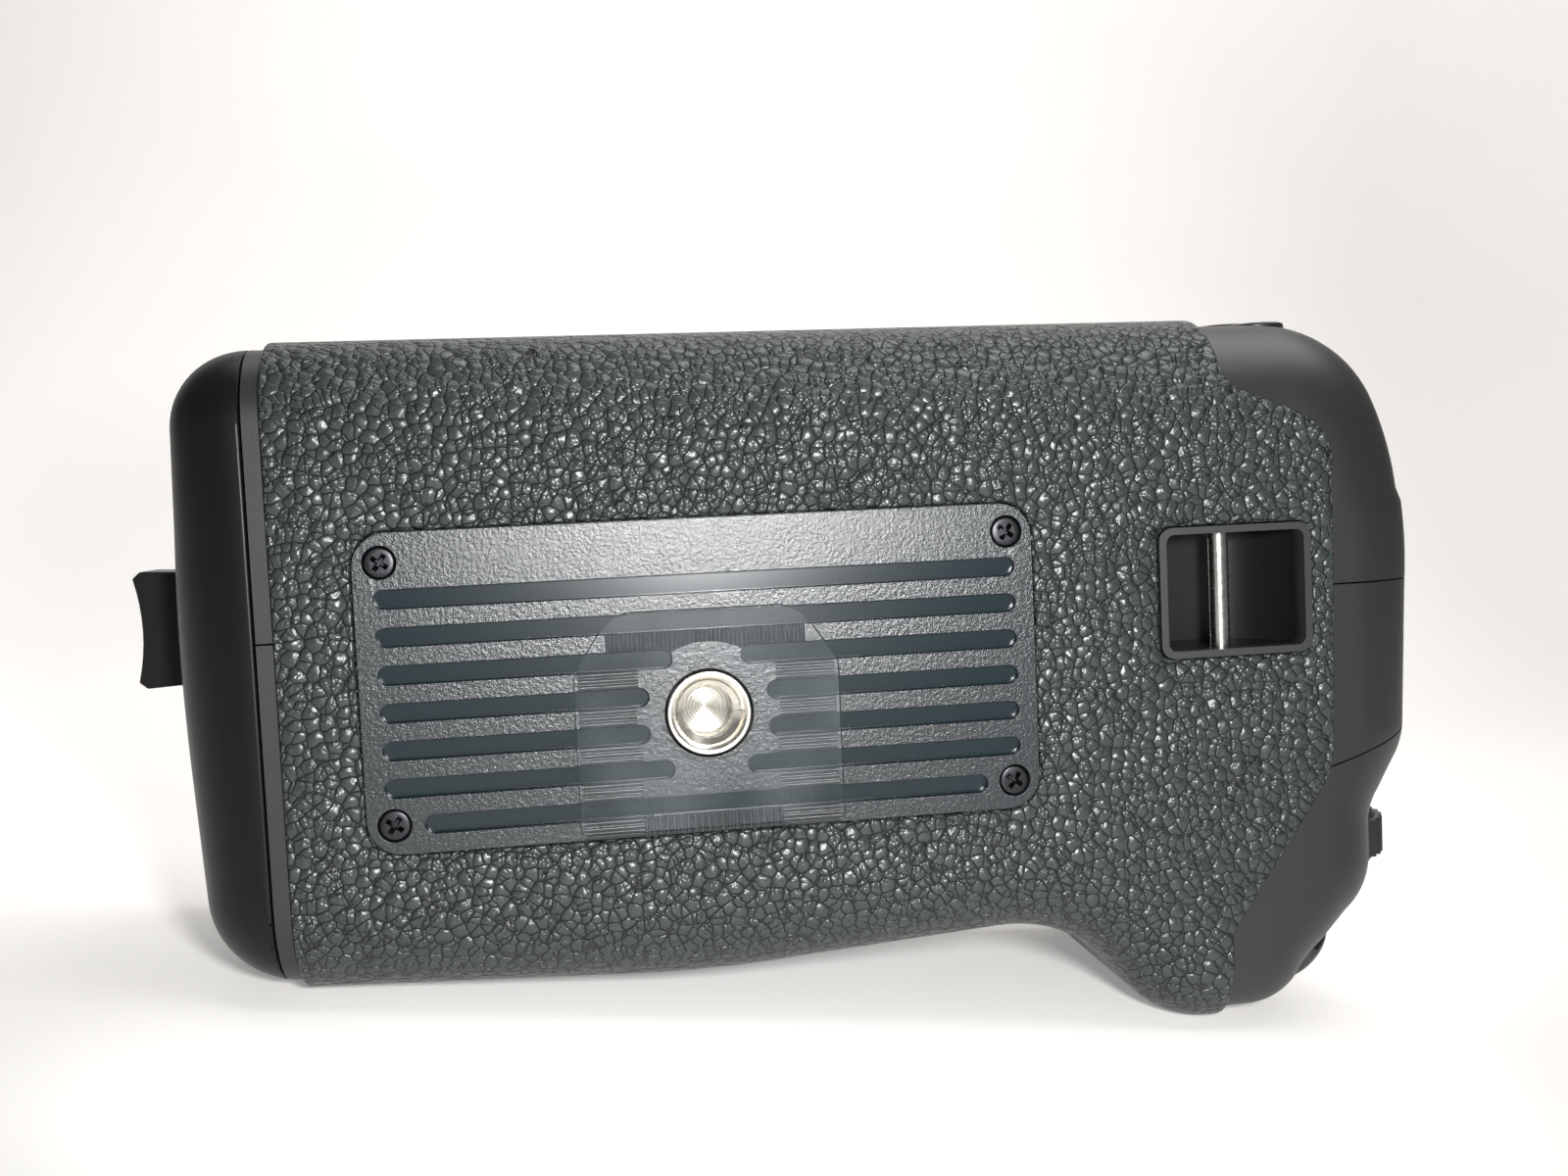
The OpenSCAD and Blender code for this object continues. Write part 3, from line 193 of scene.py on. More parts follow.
# Painted shade: the serrations' valleys on the ribs are coloured darker
valleyShade = addNode(tree, "MapRange", {
    "Value": serration.outputs[0], "From Min": -0.9, "From Max": -0.2, "To Min": 1.0, "To Max": 0.0})
valleyShadeOnRib = addNode(tree, "Math", {0: valleyShade.outputs[0], 1: ribOnly.outputs[0]}, operation="MULTIPLY")
lined = addNode(tree, "MixRGB", {
    "Fac": valleyShadeOnRib.outputs[0], "Color1": tone.outputs[0], "Color2": hexColour(plateLook["valleyShade"])})
shine = addNode(tree, "MapRange", {
    "Value": floorMask.outputs[0], "To Min": plateLook["ribShine"], "To Max": plateLook["floorShine"]})
tree.links.new(bump.outputs[0], shader.inputs["Normal"])
tree.links.new(lined.outputs[0], shader.inputs["Base Color"])
tree.links.new(shine.outputs[0], shader.inputs["Roughness"])


# Metals: fine wear in the roughness keeps a plated or oiled face from looking painted
wear = {"polished": -0.06, "dulled": 0.1}


def wornMetal(name, colour, rough, wearSize):
    material, tree, shader, coords = newMaterial(name, {"Base Color": hexColour(colour), "Metallic": 1.0})
    noise = addNode(tree, "TexNoise", {"Vector": coords, "Scale": 1 / (wearSize * mm), "Detail": 3.0})
    worn = addNode(tree, "MapRange", {
        "Value": noise.outputs[0], "To Min": rough + wear["polished"], "To Max": rough + wear["dulled"]})
    tree.links.new(worn.outputs[0], shader.inputs["Roughness"])
    return material


blackSteel = wornMetal("blackOxideSteel", "#3a3a3d", 0.34, 0.5)
steel = wornMetal("zincPlatedSteel", "#b4b6b8", 0.32, 1.5)
chrome = wornMetal("satinChrome", "#e2dfd6", 0.24, 0.8)
stainless = wornMetal("drawnStainlessSteel", "#b8b8b4", 0.24, 0.6)
gold = wornMetal("goldPlatedBronze", "#d8ab52", 0.24, 0.8)

# Chromed bottom of the socket's bore: turning rings, drawn wider than a tool's feed so that they show, fan
# the light
turnedLook = {"colour": "#e6e3da", "ring": 0.32, "depth": 0.03}
turnedChrome, tree, shader, coords = newMaterial("turnedChrome", {
    "Base Color": hexColour(turnedLook["colour"]), "Metallic": 1.0, "Roughness": 0.2})
flatPlace = addNode(tree, "VectorMath", {0: coords, 1: (1, 0, 1)}, operation="MULTIPLY")
reach = addNode(tree, "VectorMath", {0: flatPlace.outputs[0]}, operation="LENGTH")
wave = addNode(tree, "Math", {
    0: reach.outputs["Value"], 1: 2 * math.pi / (turnedLook["ring"] * mm)}, operation="MULTIPLY")
ridge = addNode(tree, "Math", {0: wave.outputs[0]}, operation="SINE")
bump = addNode(tree, "Bump", {
    "Height": ridge.outputs[0], "Distance": turnedLook["depth"] / 2 * mm, "Strength": 1.0})
tree.links.new(bump.outputs[0], shader.inputs["Normal"])

# Polished black polycarbonate: a mirror-like dark button
glossButton, tree, shader, coords = newMaterial("polishedPolycarbonate", {
    "Base Color": hexColour("#0b0b0c"), "IOR": 1.58, "Coat Weight": 0.6, "Coat Roughness": 0.04})
noise = addNode(tree, "TexNoise", {"Vector": coords, "Scale": 1 / (4 * mm), "Detail": 2.0})
shine = addNode(tree, "MapRange", {"Value": noise.outputs[0], "To Min": 0.08, "To Max": 0.16})
tree.links.new(shine.outputs[0], shader.inputs["Roughness"])

# Clear protective film: hardly seen but for a faint uneven veil
filmLook = {"tint": "#aeb9bf", "veilSize": 9, "veil": 0.05}
clearFilm, tree, shader, coords = newMaterial("clearPolyesterFilm", {
    "Base Color": hexColour(filmLook["tint"]), "IOR": 1.57, "Roughness": 0.16})
noise = addNode(tree, "TexNoise", {
    "Vector": coords, "Scale": 1 / (filmLook["veilSize"] * mm), "Detail": 1.0})
veil = addNode(tree, "MapRange", {
    "Value": noise.outputs[0], "From Min": 0.3, "From Max": 0.7, "To Min": 0.0, "To Max": filmLook["veil"]})
tree.links.new(veil.outputs[0], shader.inputs["Alpha"])

# Glass-epoxy board under green solder mask: the weave shows faintly
board, tree, shader, coords = newMaterial("solderMask", {"Roughness": 0.35, "IOR": 1.55})
weave = addNode(tree, "TexChecker", {"Vector": coords, "Scale": 1 / (0.6 * mm),
    "Color1": hexColour("#16402a"), "Color2": hexColour("#1a4a31")})
tree.links.new(weave.outputs["Color"], shader.inputs["Base Color"])
print("materials made")


# Shapes

def meshObject(name, bm):
    bmesh.ops.recalc_face_normals(bm, faces=bm.faces)
    mesh = bpy.data.meshes.new(name)
    bm.to_mesh(mesh)
    bm.free()
    made = bpy.data.objects.new(name, mesh)
    scene.collection.objects.link(made)
    return made


def combine(base, other, operation):
    change = base.modifiers.new("combine", "BOOLEAN")
    change.object = other
    change.operation = operation
    change.solver = "MANIFOLD"
    view = bpy.context.evaluated_depsgraph_get()
    base.data = bpy.data.meshes.new_from_object(base.evaluated_get(view))
    base.modifiers.clear()
    bpy.data.objects.remove(other)
    return base


def finishPiece(piece, body, material, replaced, angle=35):
    piece.data.materials.clear()
    piece.data.materials.append(material)
    piece.data.shade_smooth()
    piece.data.set_sharp_from_angle(angle=math.radians(angle))
    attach(piece, body)
    if replaced:
        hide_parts(*replaced)
    return piece


def loft(rings):
    bm = bmesh.new()
    loops = []
    for ring in rings:
        verts = [bm.verts.new(Vector(p) * mm) for p in ring]
        loops.append([bm.edges.new((verts[i - 1], verts[i])) for i in range(len(verts))])
    for low, high in zip(loops, loops[1:]):
        bmesh.ops.bridge_loops(bm, edges=low + high)
    for loop in (loops[0], loops[-1]):
        bmesh.ops.edgeloop_fill(bm, edges=loop)
    return bm


# Points of an outline with rounded corners, each with its way out and its edge radius
def roundedOutline(corners, steps):
    points = []
    for i, (x, z, radius, edge) in enumerate(corners):
        here = Vector((x, z))
        into = (here - Vector(corners[i - 1][:2])).normalized()
        away = (Vector(corners[(i + 1) % len(corners)][:2]) - here).normalized()
        turn = math.atan2(into.x * away.y - into.y * away.x, into.dot(away))
        start = here - into * radius * math.tan(abs(turn) / 2)
        side = math.copysign(1, turn)
        normal = Vector((into.y, -into.x))
        centre = start - normal * radius * side
        for k in range(steps + 1):
            out = Matrix.Rotation(turn * k / steps, 2) @ normal
            points.append((centre + out * radius * side, out, edge))
    return points


bodyForm = {
    "corners": [
        (78.6, 24.2, 35, 11), (72.9, 37.9, 14, 11), (-51.1, 38.2, 7.8, 7.6), (-52.4, 8.15, 260, 8.5),
        (-50.6, -25.4, 9.6, 8.5), (0, -27.9, 140, 8.5), (38.6, -24.7, 16, 7), (48.8, -37.2, 10, 6.4),
        (61.9, -37.1, 7.5, 6.5), (65.913, -31.791, 14, 6.8), (73.9, -25.4, 9, 8.2), (73.9, -16.1, 5.5, 8.2),
        (78.3, -9.4, 9.6, 8.8), (79.9, 13.15, 50, 10)],
    "cornerSteps": 16, "edgeSteps": 16, "height": 40, "deckAt": 38, "deckRim": 1.3,
    "wall": 2.6, "skin": 1.0, "skinProud": 0.7, "seam": 0.2, "fit": 0.1, "split": 9.3, "capAt": -43.5}
outline = roundedOutline(bodyForm["corners"], bodyForm["cornerSteps"])


def formSolid(name, inset, top):
    rings = []
    for k in range(bodyForm["edgeSteps"] + 1):
        angle = math.pi / 2 * k / bodyForm["edgeSteps"]
        ring = []
        for point, out, edge in outline:
            radius = edge - inset
            p = point - out * (inset + radius * (1 - math.sin(angle)))
            ring.append((p.x, inset + radius * (1 - math.cos(angle)), p.y))
        rings.append(ring)
    rings.append([((point - out * inset).x, top, (point - out * inset).y) for point, out, edge in outline])
    return meshObject(name, loft(rings))


def prism(name, points, low, high):
    return meshObject(name, loft([[(x, y, z) for x, z in points] for y in (low, high)]))


def block(name, low, high):
    bm = bmesh.new()
    bmesh.ops.create_cube(bm, size=1)
    size = Vector(high) - Vector(low)
    bmesh.ops.scale(bm, vec=size * mm, verts=bm.verts)
    bmesh.ops.translate(bm, vec=(Vector(low) + size / 2) * mm, verts=bm.verts)
    return meshObject(name, bm)


def rod(name, place, direction, radius, length, segments=64):
    bm = bmesh.new()
    bmesh.ops.create_cone(bm, cap_ends=True, segments=segments, radius1=radius * mm, radius2=radius * mm,
        depth=length * mm)
    turn = Vector((0, 0, 1)).rotation_difference(Vector(direction)).to_matrix().to_4x4()
    bmesh.ops.transform(bm, matrix=Matrix.Translation(Vector(place) * mm) @ turn, verts=bm.verts)
    return meshObject(name, bm)


# Rounds the convex edges that stand sharp, after facets that lie level are joined
edgeForm = {"weld": 0.004, "level": 0.4, "sharp": 50, "steps": 3}


def roundEdges(piece, width):
    bm = bmesh.new()
    bm.from_mesh(piece.data)
    bmesh.ops.remove_doubles(bm, verts=bm.verts, dist=edgeForm["weld"] * mm)
    bmesh.ops.dissolve_limit(bm, angle_limit=math.radians(edgeForm["level"]), verts=bm.verts, edges=bm.edges)
    bmesh.ops.recalc_face_normals(bm, faces=bm.faces)
    sharp = [
        e for e in bm.edges
        if len(e.link_faces) == 2 and e.is_convex and e.calc_face_angle() > math.radians(edgeForm["sharp"])]
    bmesh.ops.bevel(bm, geom=sharp, offset=width * mm, segments=edgeForm["steps"], profile=0.5,
        affect="EDGES", clamp_overlap=False, material=-1)
    bm.to_mesh(piece.data)
    bm.free()


skinForm = {
    "corners": [
        (55.3, far, 1, 0), (-41.6, far, 1, 0), (-41.6, -far, 1, 0), (54.2, -far, 1, 0),
        (54.7, -27.3, 3.4, 0), (66.6, -10.4, 9, 0), (67.3, 26.2, 6.2, 0), (55.6, 30.9, 3.2, 0)],
    "cornerSteps": 14, "rearHeight": 24, "frontHeight": 34, "rim": 0.4}
skinEdge = roundedOutline(skinForm["corners"], skinForm["cornerSteps"])
plateForm = {"place": (0, 3.8), "length": 67.8, "width": 31.5, "corner": 3.4, "through": 3}
lugForm = {"place": (55.95, 9.3), "length": 16.7, "width": 13.7, "corner": 1.4, "through": 3.6}
rectSteps = 10


def softRect(x, z, length, width, corner):
    signs = ((1, 1), (-1, 1), (-1, -1), (1, -1))
    corners = [(x + a * length / 2, z + b * width / 2, corner, 0) for a, b in signs]
    return [tuple(p) for p, out, edge in roundedOutline(corners, rectSteps)]


def skinZone(name, grow):
    points = [tuple(p + out * grow) for p, out, edge in skinEdge]
    low = prism(name, points, -far, skinForm["rearHeight"] + grow)
    high = prism(name + "Front", points, -far, skinForm["frontHeight"] + grow)
    combine(high, block(name + "Half", (-far, -far, -far), (far, far, 0)), "INTERSECT")
    return combine(low, high, "UNION")


# A hole through the base that a piece of the given form fits in
def opening(name, form):
    fit = bodyForm["fit"]
    length, width = form["length"] + 2 * fit, form["width"] + 2 * fit
    points = softRect(*form["place"], length, width, form["corner"] + fit)
    return prism(name, points, -far, form["through"])


# The shells' wall before it is parted
def housing(name):
    whole = formSolid(name, 0, bodyForm["height"])
    combine(whole, skinZone("zone", bodyForm["fit"]), "DIFFERENCE")
    combine(whole, formSolid("under", bodyForm["skin"], bodyForm["height"]), "UNION")
    combine(whole, formSolid("inside", bodyForm["wall"], bodyForm["height"] + 1), "DIFFERENCE")
    rim = [tuple(p - out * (bodyForm["deckRim"] - bodyForm["fit"])) for p, out, edge in outline]
    combine(whole, prism("deckSeat", rim, bodyForm["deckAt"], far), "DIFFERENCE")
    combine(whole, opening("lugHole", lugForm), "DIFFERENCE")
    return whole


coverForm = {"at": (67.1, -10.1), "rise": 0.3, "back": 20}


def coverZone(name, grow):
    x, z = coverForm["at"]
    left = x - coverForm["back"]
    line = [(left, -far), (far, -far), (far, z + (far - x) * coverForm["rise"] + grow),
        (left, z - coverForm["back"] * coverForm["rise"] + grow)]
    zone = prism(name, line, -far, far)
    edge = [tuple(p + out * (bodyForm["seam"] / 2 - grow)) for p, out, e in skinEdge]
    return combine(zone, prism(name + "Skin", edge, -far - 1, far + 1), "DIFFERENCE")


seam = bodyForm["seam"]
xAxis, yAxis, zAxis = (1, 0, 0), (0, 1, 0), (0, 0, 1)
rearForm = {
    "buttons": [(64.8, y, 38) for y in (12, 20.6, 29.2)], "buttonHole": (3.4, 12),
    "wheelAt": 22.5, "wheelRoom": 18.8, "wheelLow": 31.1, "wheelHigh": 34.9}
rearShell = combine(housing("rearShell"), block("rearHalf",
    (bodyForm["capAt"] + seam, -far, bodyForm["split"] + seam / 2), (far, far, far)), "INTERSECT")
for place in rearForm["buttons"]:
    combine(rearShell, rod("buttonHole", place, zAxis, *rearForm["buttonHole"]), "DIFFERENCE")
low, high = rearForm["wheelLow"], rearForm["wheelHigh"]
combine(rearShell, rod("wheelSlot", (0, (low + high) / 2, rearForm["wheelAt"]), yAxis, rearForm["wheelRoom"],
    high - low, fineSides), "DIFFERENCE")
finishPiece(rearShell, "housing", shellPlastic, ["rear_shell"])

frontForm = {"socket": (0, 1, 0), "socketHole": (4.3, 8), "knobSlot": ((69.7, 17.2, -2.3), (far, 26.3, 2.3))}
frontShell = combine(housing("frontShell"), block("frontHalf",
    (bodyForm["capAt"] + seam, -far, -far), (far, far, bodyForm["split"] - seam / 2)), "INTERSECT")
combine(frontShell, coverZone("coverRoom", seam / 2), "DIFFERENCE")
combine(frontShell, block("knobSlot", *frontForm["knobSlot"]), "DIFFERENCE")
combine(frontShell, rod("socketHole", frontForm["socket"], yAxis, *frontForm["socketHole"]), "DIFFERENCE")
finishPiece(frontShell, "housing", shellPlastic, ["front_shell"])

controlForm = {
    "dial": (70.6, 13.5, -20.3), "dialHole": (8.6, 8.0), "shutter": (65.913, 12, -31.791),
    "shutterWay": (0.6981, 0, -0.716), "shutterHole": (4.9, 20)}
controlCover = combine(housing("controlCover"), coverZone("coverZone", -seam / 2), "INTERSECT")
dialRoom = rod("dialRoom", controlForm["dial"], zAxis, *controlForm["dialHole"], fineSides)
combine(controlCover, dialRoom, "DIFFERENCE")
shutterRoom = rod("shutterRoom", controlForm["shutter"], controlForm["shutterWay"],
    *controlForm["shutterHole"])
combine(controlCover, shutterRoom, "DIFFERENCE")
finishPiece(controlCover, "housing", shellPlastic, ["control_cover"])
print("shells made")

gripSkin = formSolid("gripSkin", -bodyForm["skinProud"], bodyForm["height"])
combine(gripSkin, formSolid("skinInside", bodyForm["skin"], bodyForm["height"] + 1), "DIFFERENCE")
combine(gripSkin, skinZone("skinZone", 0), "INTERSECT")
combine(gripSkin, opening("plateHole", plateForm), "DIFFERENCE")
combine(gripSkin, opening("lugHole", lugForm), "DIFFERENCE")
roundEdges(gripSkin, skinForm["rim"])
finishPiece(gripSkin, "housing", rubber, ["grip_skin"], 40)
print("skin made")

# The cap's pocket and bolt hole are cut after its edges are rounded, so that their own edges stay sharp
capForm = {
    "skin": 1.2, "rim": 0.3, "pocket": -48.2, "open": -40, "mouth": (20.1, 6.42, 33.8, 56.54, 5),
    "foot": (19.95, 10.2), "footFloor": -50.6, "footRoom": (7.9, 20), "boltAt": -48, "boltRoom": (2.45, 12)}
cap = combine(formSolid("magazineCap", 0, bodyForm["height"]),
    block("capSide", (-far, -far, -far), (bodyForm["capAt"], far, far)), "INTERSECT")
radius, length = capForm["footRoom"]
footRoom = rod("footRoom", (capForm["footFloor"] - length / 2, *capForm["foot"]), xAxis, radius, length)
combine(cap, footRoom, "DIFFERENCE")
roundEdges(cap, capForm["rim"])
ends = (capForm["pocket"], capForm["open"])
mouth = meshObject("mouth", loft([[(x, y, z) for y, z in softRect(*capForm["mouth"])] for x in ends]))
pocket = combine(formSolid("capInside", capForm["skin"], bodyForm["height"]), mouth, "INTERSECT")
combine(cap, pocket, "DIFFERENCE")
boltRoom = rod("boltRoom", (capForm["boltAt"], *capForm["foot"]), xAxis, *capForm["boltRoom"])
combine(cap, boltRoom, "DIFFERENCE")
finishPiece(cap, "magazine", capPlastic, ["magazine_cap"], 40)
print("cap made")


def turnMesh(bm, angle, axis):
    bmesh.ops.rotate(bm, cent=(0, 0, 0), matrix=Matrix.Rotation(angle, 3, axis), verts=bm.verts)


# Cross-slotted screws that hold the plate. A slot is a square cone, narrower at its foot
screwForm = {
    "across": 31.25, "up": 12.85, "radius": 1.55, "sides": 40, "face": -0.65, "depth": 1.05, "rim": 0.28,
    "rimSteps": 3, "slots": (35, 125), "slot": 0.78, "reach": 2.9, "slotDepth": 1.6, "slotFoot": 0.3}
plateMiddle = plateForm["place"][1]
levels = (plateMiddle - screwForm["up"], plateMiddle + screwForm["up"])
places = [(x, z) for x in (-screwForm["across"], screwForm["across"]) for z in levels]
bm = bmesh.new()
for x, z in places:
    head = bmesh.new()
    bmesh.ops.create_cone(head, cap_ends=True, segments=screwForm["sides"], radius1=screwForm["radius"] * mm,
        radius2=screwForm["radius"] * mm, depth=screwForm["depth"] * mm)
    rim = [e for e in head.edges if all(v.co.z > 0 for v in e.verts)]
    bmesh.ops.bevel(head, geom=rim, offset=screwForm["rim"] * mm, segments=screwForm["rimSteps"],
        profile=0.5, affect="EDGES", material=-1)
    shift = Matrix.Translation(Vector((x, screwForm["face"] + screwForm["depth"] / 2, z)) * mm)
    bmesh.ops.transform(head, matrix=shift @ Matrix.Rotation(math.pi / 2, 4, "X"), verts=head.verts)
    mesh = bpy.data.meshes.new("head")
    head.to_mesh(mesh)
    head.free()
    bm.from_mesh(mesh)
    bpy.data.meshes.remove(mesh)
plateScrews = meshObject("plateScrews", bm)
halfDiagonal = 0.5 ** 0.5
slotSize = Vector((screwForm["reach"], screwForm["slot"], screwForm["slotDepth"])) * mm
for x, z in places:
    for angle in screwForm["slots"]:
        slot = bmesh.new()
        bmesh.ops.create_cone(slot, cap_ends=True, segments=4, radius1=halfDiagonal,
            radius2=screwForm["slotFoot"] * halfDiagonal, depth=1.0)
        turnMesh(slot, math.pi / 4, "Z")
        bmesh.ops.scale(slot, vec=slotSize, verts=slot.verts)
        turnMesh(slot, math.radians(angle), "Z")
        turnMesh(slot, -math.pi / 2, "X")
        bmesh.ops.translate(slot, vec=Vector((x, screwForm["face"], z)) * mm, verts=slot.verts)
        combine(plateScrews, meshObject("slot", slot), "DIFFERENCE")
finishPiece(plateScrews, "housing", blackSteel, ["plate_screws"], 40)
print("screws made")

# Thread of the tripod socket, one tooth wound up its bore
threadForm = {
    "outer": 3.22, "inner": 2.62, "root": 0.55, "crest": 0.1, "pitch": 1.27, "turns": 4, "start": -0.2,
    "steps": 48}
outer, inner, root, crest = (threadForm[key] for key in ("outer", "inner", "root", "crest"))
tooth = [(outer, -root), (inner, -crest), (inner, crest), (outer, root)]
bm = bmesh.new()
verts = [bm.verts.new(Vector((r, threadForm["start"] + y, 0)) * mm) for r, y in tooth]
face = bm.faces.new(verts)
bmesh.ops.spin(bm, geom=[face] + list(face.edges) + verts, cent=(0, 0, 0), axis=yAxis,
    dvec=(0, threadForm["pitch"] * mm / threadForm["steps"], 0), angle=2 * math.pi * threadForm["turns"],
    steps=threadForm["steps"] * threadForm["turns"])
finishPiece(meshObject("socketThread", bm), "housing", chrome, [], 40)

# Turned bottom of the bore: a shallow dish, its radius and depth at each corner of the section
bottomForm = {"section": ((0, 5.4), (3.1, 4.75), (3.1, 5.9), (0, 5.9)), "steps": 64, "weld": 0.001}
bm = bmesh.new()
verts = [bm.verts.new(Vector((r, y, 0)) * mm) for r, y in bottomForm["section"]]
edges = [bm.edges.new(pair) for pair in zip(verts, verts[1:])]
bmesh.ops.spin(bm, geom=verts + edges, cent=(0, 0, 0), axis=yAxis, angle=2 * math.pi,
    steps=bottomForm["steps"], use_merge=True)
bmesh.ops.remove_doubles(bm, verts=bm.verts, dist=bottomForm["weld"] * mm)
finishPiece(meshObject("socketBottom", bm), "housing", turnedChrome, [], 40)
print("thread made")


# The CAD's own solids, each with its finish and the size of its broken edges in mm
dressed = {
    "tripod_plate": (platePlastic, 0.15), "base_chassis": (steel, 0), "tripod_socket": (chrome, 0.12),
    "socket_film": (clearFilm, 0), "strap_bezel": (wellPlastic, 0.22), "strap_bar": (stainless, 0),
    "top_deck": (shellPlastic, 0.25), "deck_screws": (blackSteel, 0.1),
    "battery_post_left": (shellPlastic, 0.4), "battery_post_right": (shellPlastic, 0.4),
    "post_contacts": (gold, 0.1), "locating_pin": (steel, 0.15), "gear_bracket": (steel, 0),
    "wheel_axle": (steel, 0), "battery_chamber": (innerPlastic, 0), "contact_block": (innerPlastic, 0),
    "contact_leaves": (gold, 0), "main_board": (board, 0), "board_parts": (boardParts, 0.1),
    "shutter_bracket": (steel, 0), "shutter_switch": (boardParts, 0), "dial_pin": (steel, 0),
    "dial_encoder": (boardParts, 0), "button_board": (board, 0), "button_switches": (boardParts, 0),
    "power_switch": (boardParts, 0), "magazine_tray": (innerPlastic, 0.2), "magazine_terminals": (gold, 0),
    "bay_contacts": (gold, 0), "cap_screws": (blackSteel, 0.1), "release_handle": (capPlastic, 0.5),
    "latch_bolt": (steel, 0.1), "bolt_nut": (steel, 0.1), "camera_screw": (steel, 0.12),
    "screw_gear": (steel, 0), "attachment_wheel": (controlPlastic, 0.12), "shutter_button": (glossButton, 0),
    "main_dial": (controlPlastic, 0.12), "af_point_button": (controlPlastic, 0.3),
    "ae_lock_button": (controlPlastic, 0.3), "af_on_button": (controlPlastic, 0.3),
    "power_knob": (controlPlastic, 0.25)}
dressForm = {"weld": 0.002, "level": 0.5, "broken": 40, "steps": 2, "crisp": 38, "filmLift": 0.02}
for name, (material, edge) in dressed.items():
    node = nodes[name]
    node.data.materials.clear()
    node.data.materials.append(material)
    for polygon in node.data.polygons:
        polygon.use_smooth = True
    weld = node.modifiers.new("weld", "WELD")
    weld.merge_threshold = dressForm["weld"] * mm
    if edge:
        flat = node.modifiers.new("flat", "DECIMATE")
        flat.decimate_type = "DISSOLVE"
        flat.angle_limit = math.radians(dressForm["level"])
        broken = node.modifiers.new("broken", "BEVEL")
        broken.width = edge * mm
        broken.segments = dressForm["steps"]
        broken.limit_method = "ANGLE"
        broken.angle_limit = math.radians(dressForm["broken"])
        node.modifiers.new("level", "WEIGHTED_NORMAL").weight = 100
    else:
        crisp = node.modifiers.new("crisp", "EDGE_SPLIT")
        crisp.split_angle = math.radians(dressForm["crisp"])
# The film is drawn in by a hair, off the plate's own face, so that the eye passes through it onto the plate
lift = nodes["socket_film"].modifiers.new("lift", "DISPLACE")
lift.strength = -dressForm["filmLift"] * mm
lift.mid_level = 0
print("solids dressed")


# Stage: a pale sheet that sweeps up behind, soft lamps and the camera. The sheet slopes as the part lies in
# the photo, and it glows for the eye and in reflections alone
stageForm = {
    "slope": -0.1165, "at": (-44, -26.7), "front": -500, "back": 260, "sweep": 160, "sweepSteps": 16,
    "height": 900, "half": 1200, "light": "#f7f5f3", "dark": "#f4f1ee", "fibre": 60, "glow": 0.28,
    "farGlow": 0.75, "pool": (0, 260), "poolEdge": (350, 650)}
back, sweep, half = (stageForm[key] for key in ("back", "sweep", "half"))
profile = [(stageForm["front"], 0)]
for k in range(stageForm["sweepSteps"] + 1):
    angle = math.pi / 2 * k / stageForm["sweepSteps"]
    profile.append((back + sweep * math.sin(angle), sweep * (1 - math.cos(angle))))
profile.append((back + sweep, stageForm["height"]))
x0, z0 = stageForm["at"]
leftRise = z0 + stageForm["slope"] * (-half - x0)
bm = bmesh.new()
verts = [bm.verts.new(Vector((-half, y, leftRise + h)) * mm) for y, h in profile]
edges = [bm.edges.new(pair) for pair in zip(verts, verts[1:])]
across = bmesh.ops.extrude_edge_only(bm, edges=edges)["geom"]
bmesh.ops.translate(bm, vec=Vector((2 * half, 0, 2 * half * stageForm["slope"])) * mm,
    verts=[g for g in across if isinstance(g, bmesh.types.BMVert)])
sheet = meshObject("paperSheet", bm)
sheet.data.shade_smooth()
paper, tree, shader, coords = newMaterial("whitePaper", {"Roughness": 0.8})
fibre = addNode(tree, "TexNoise", {"Vector": coords, "Scale": 1 / (stageForm["fibre"] * mm), "Detail": 2.0})
tone = addNode(tree, "MixRGB", {
    "Fac": fibre.outputs[0], "Color1": hexColour(stageForm["dark"]),
    "Color2": hexColour(stageForm["light"])})
tree.links.new(tone.outputs[0], shader.inputs["Base Color"])
away = addNode(tree, "VectorMath", {
    0: coords, 1: Vector((*stageForm["pool"], 0)) * mm}, operation="SUBTRACT")
level = addNode(tree, "VectorMath", {0: away.outputs[0], 1: (1, 1, 0)}, operation="MULTIPLY")
reach = addNode(tree, "VectorMath", {0: level.outputs[0]}, operation="LENGTH")
near, edge = stageForm["poolEdge"]
fade = addNode(tree, "MapRange", {
    "Value": reach.outputs["Value"], "From Min": near * mm, "From Max": edge * mm}).outputs[0]
toEye = addNode(tree, "MapRange", {
    "Value": fade, "To Min": stageForm["glow"], "To Max": stageForm["farGlow"]})
toMirror = addNode(tree, "MapRange", {"Value": fade, "To Min": stageForm["glow"], "To Max": 0.0})
seen = addNode(tree, "LightPath", {})
mirrored = addNode(tree, "Math", {
    0: seen.outputs["Is Glossy Ray"], 1: seen.outputs["Is Transmission Ray"]}, operation="MAXIMUM")
direct = addNode(tree, "Math", {
    0: seen.outputs["Is Camera Ray"], 1: toEye.outputs[0]}, operation="MULTIPLY")
glow = addNode(tree, "Math", {
    0: mirrored.outputs[0], 1: toMirror.outputs[0], 2: direct.outputs[0]}, operation="MULTIPLY_ADD")
tree.links.new(tone.outputs[0], shader.inputs["Emission Color"])
tree.links.new(glow.outputs[0], shader.inputs["Emission Strength"])
sheet.data.materials.append(paper)

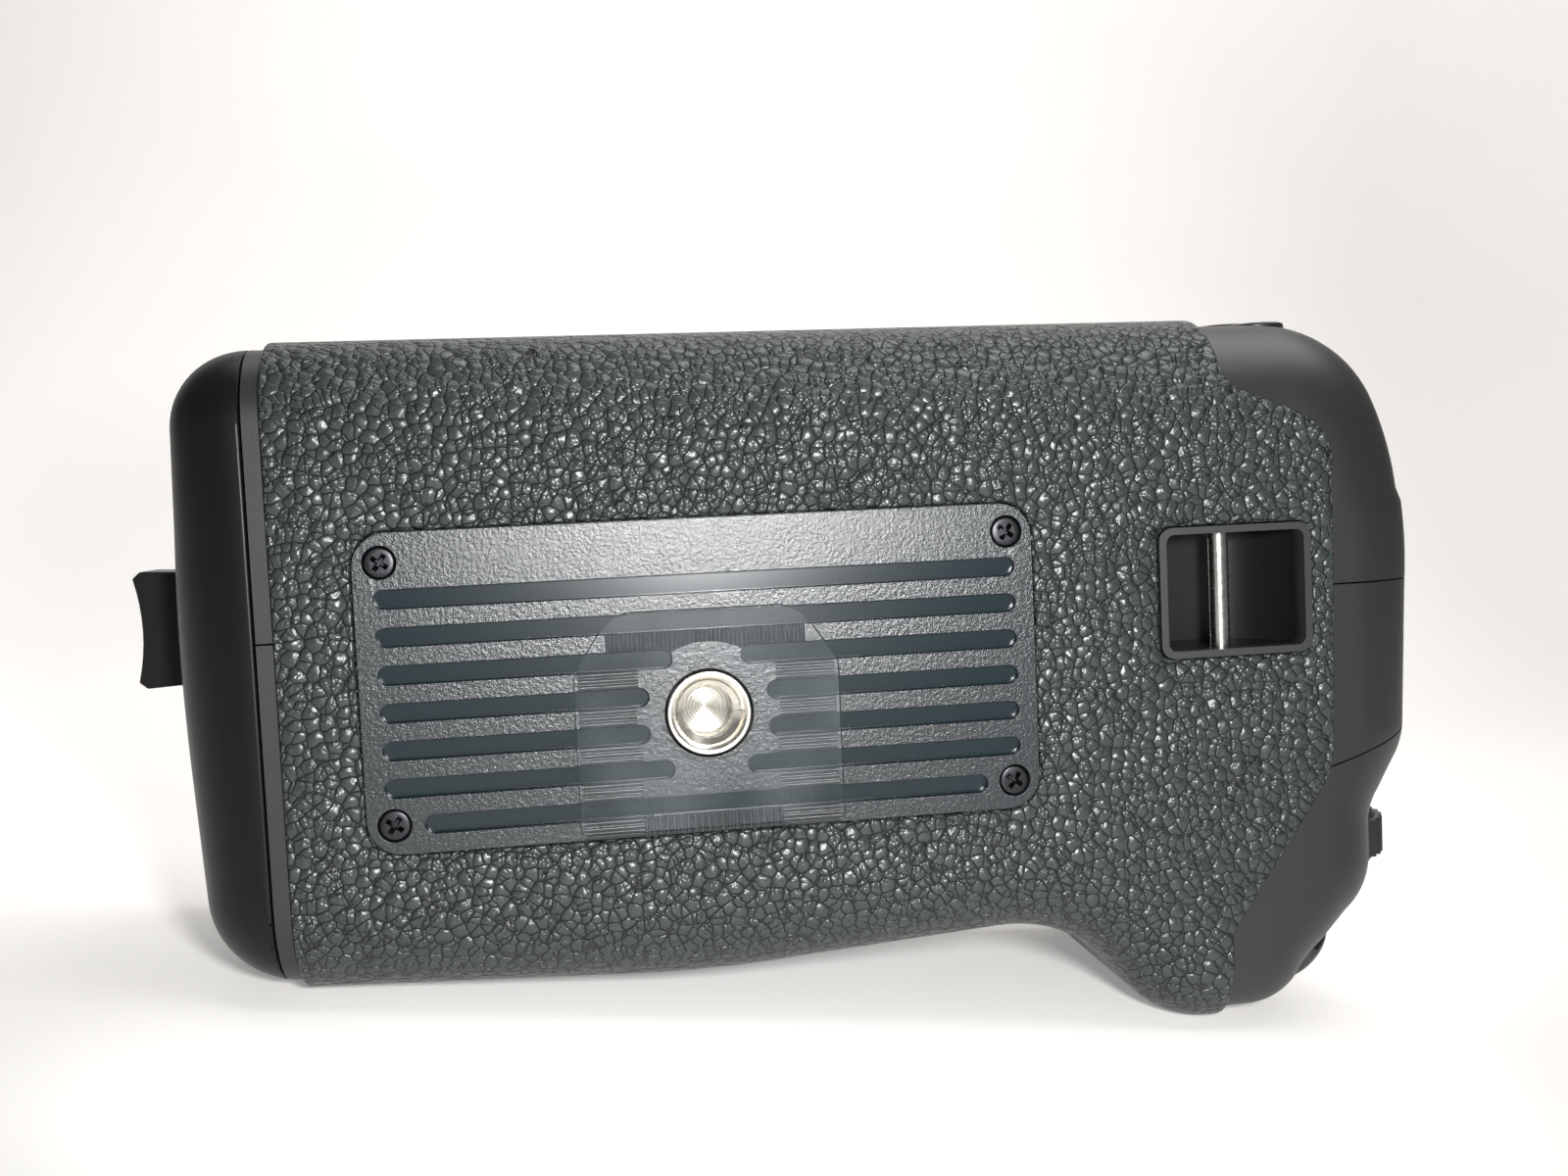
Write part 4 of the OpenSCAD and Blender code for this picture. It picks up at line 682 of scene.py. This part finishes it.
# The room: pale to the eye, dimmer in reflections and dimmest as a light
roomForm = {"light": 0.05, "seen": 0.85, "mirrored": 0.2, "colour": "#f3f2f0"}
world = bpy.data.worlds.new("room")
world.use_nodes = True
tree = world.node_tree
seen = addNode(tree, "LightPath", {})
mirrored = addNode(tree, "Math", {
    0: seen.outputs["Is Glossy Ray"], 1: seen.outputs["Is Transmission Ray"]}, operation="MAXIMUM")
dim = addNode(tree, "MapRange", {
    "Value": mirrored.outputs[0], "To Min": roomForm["light"], "To Max": roomForm["mirrored"]})
shown = addNode(tree, "MapRange", {
    "Value": seen.outputs["Is Camera Ray"], "To Min": dim.outputs[0], "To Max": roomForm["seen"]})
background = tree.nodes["Background"]
background.inputs["Color"].default_value = hexColour(roomForm["colour"])
tree.links.new(shown.outputs[0], background.inputs["Strength"])
scene.world = world


def aimed(place, aim, roll=0):
    way = Vector(aim) - Vector(place)
    turn = way.to_track_quat("-Z", "Y").to_matrix().to_4x4() @ Matrix.Rotation(math.radians(roll), 4, "Z")
    return Matrix.Translation(Vector(place) * mm) @ turn


# A small lamp near the camera, a wide one high to the right, and one that lights the sheet behind
lamps = {
    "frontLamp": ("SPOT", (15, -165, 34), (12, 0, 10), 2.0, {
        "shadow_soft_size": 12 * mm, "spot_size": math.radians(64), "spot_blend": 0.6}),
    "topLamp": ("AREA", (280, 40, 540), (20, 20, 0), 2.0, {"shape": "DISK", "size": 500 * mm}),
    "backLamp": ("AREA", (0, 150, 500), (0, 420, 200), 1.0, {"shape": "DISK", "size": 400 * mm})}
for name, (kind, place, aim, power, shape) in lamps.items():
    light = bpy.data.lights.new(name, kind)
    light.energy = power
    for key, value in shape.items():
        setattr(light, key, value)
    lamp = bpy.data.objects.new(name, light)
    lamp.matrix_world = aimed(place, aim)
    scene.collection.objects.link(lamp)

cameraForm = {
    "place": (-13.423, -151.253, 21.398), "aim": (8.1963, 0, 12.053), "roll": -2.6123, "lens": 34.875,
    "sensor": 36, "nearest": 10}
camera = bpy.data.objects.new("camera", bpy.data.cameras.new("camera"))
camera.data.sensor_width = cameraForm["sensor"]
camera.data.lens = cameraForm["lens"]
camera.data.clip_start = cameraForm["nearest"] * mm
camera.matrix_world = aimed(cameraForm["place"], cameraForm["aim"], cameraForm["roll"])
scene.collection.objects.link(camera)
scene.camera = camera
print("stage set")
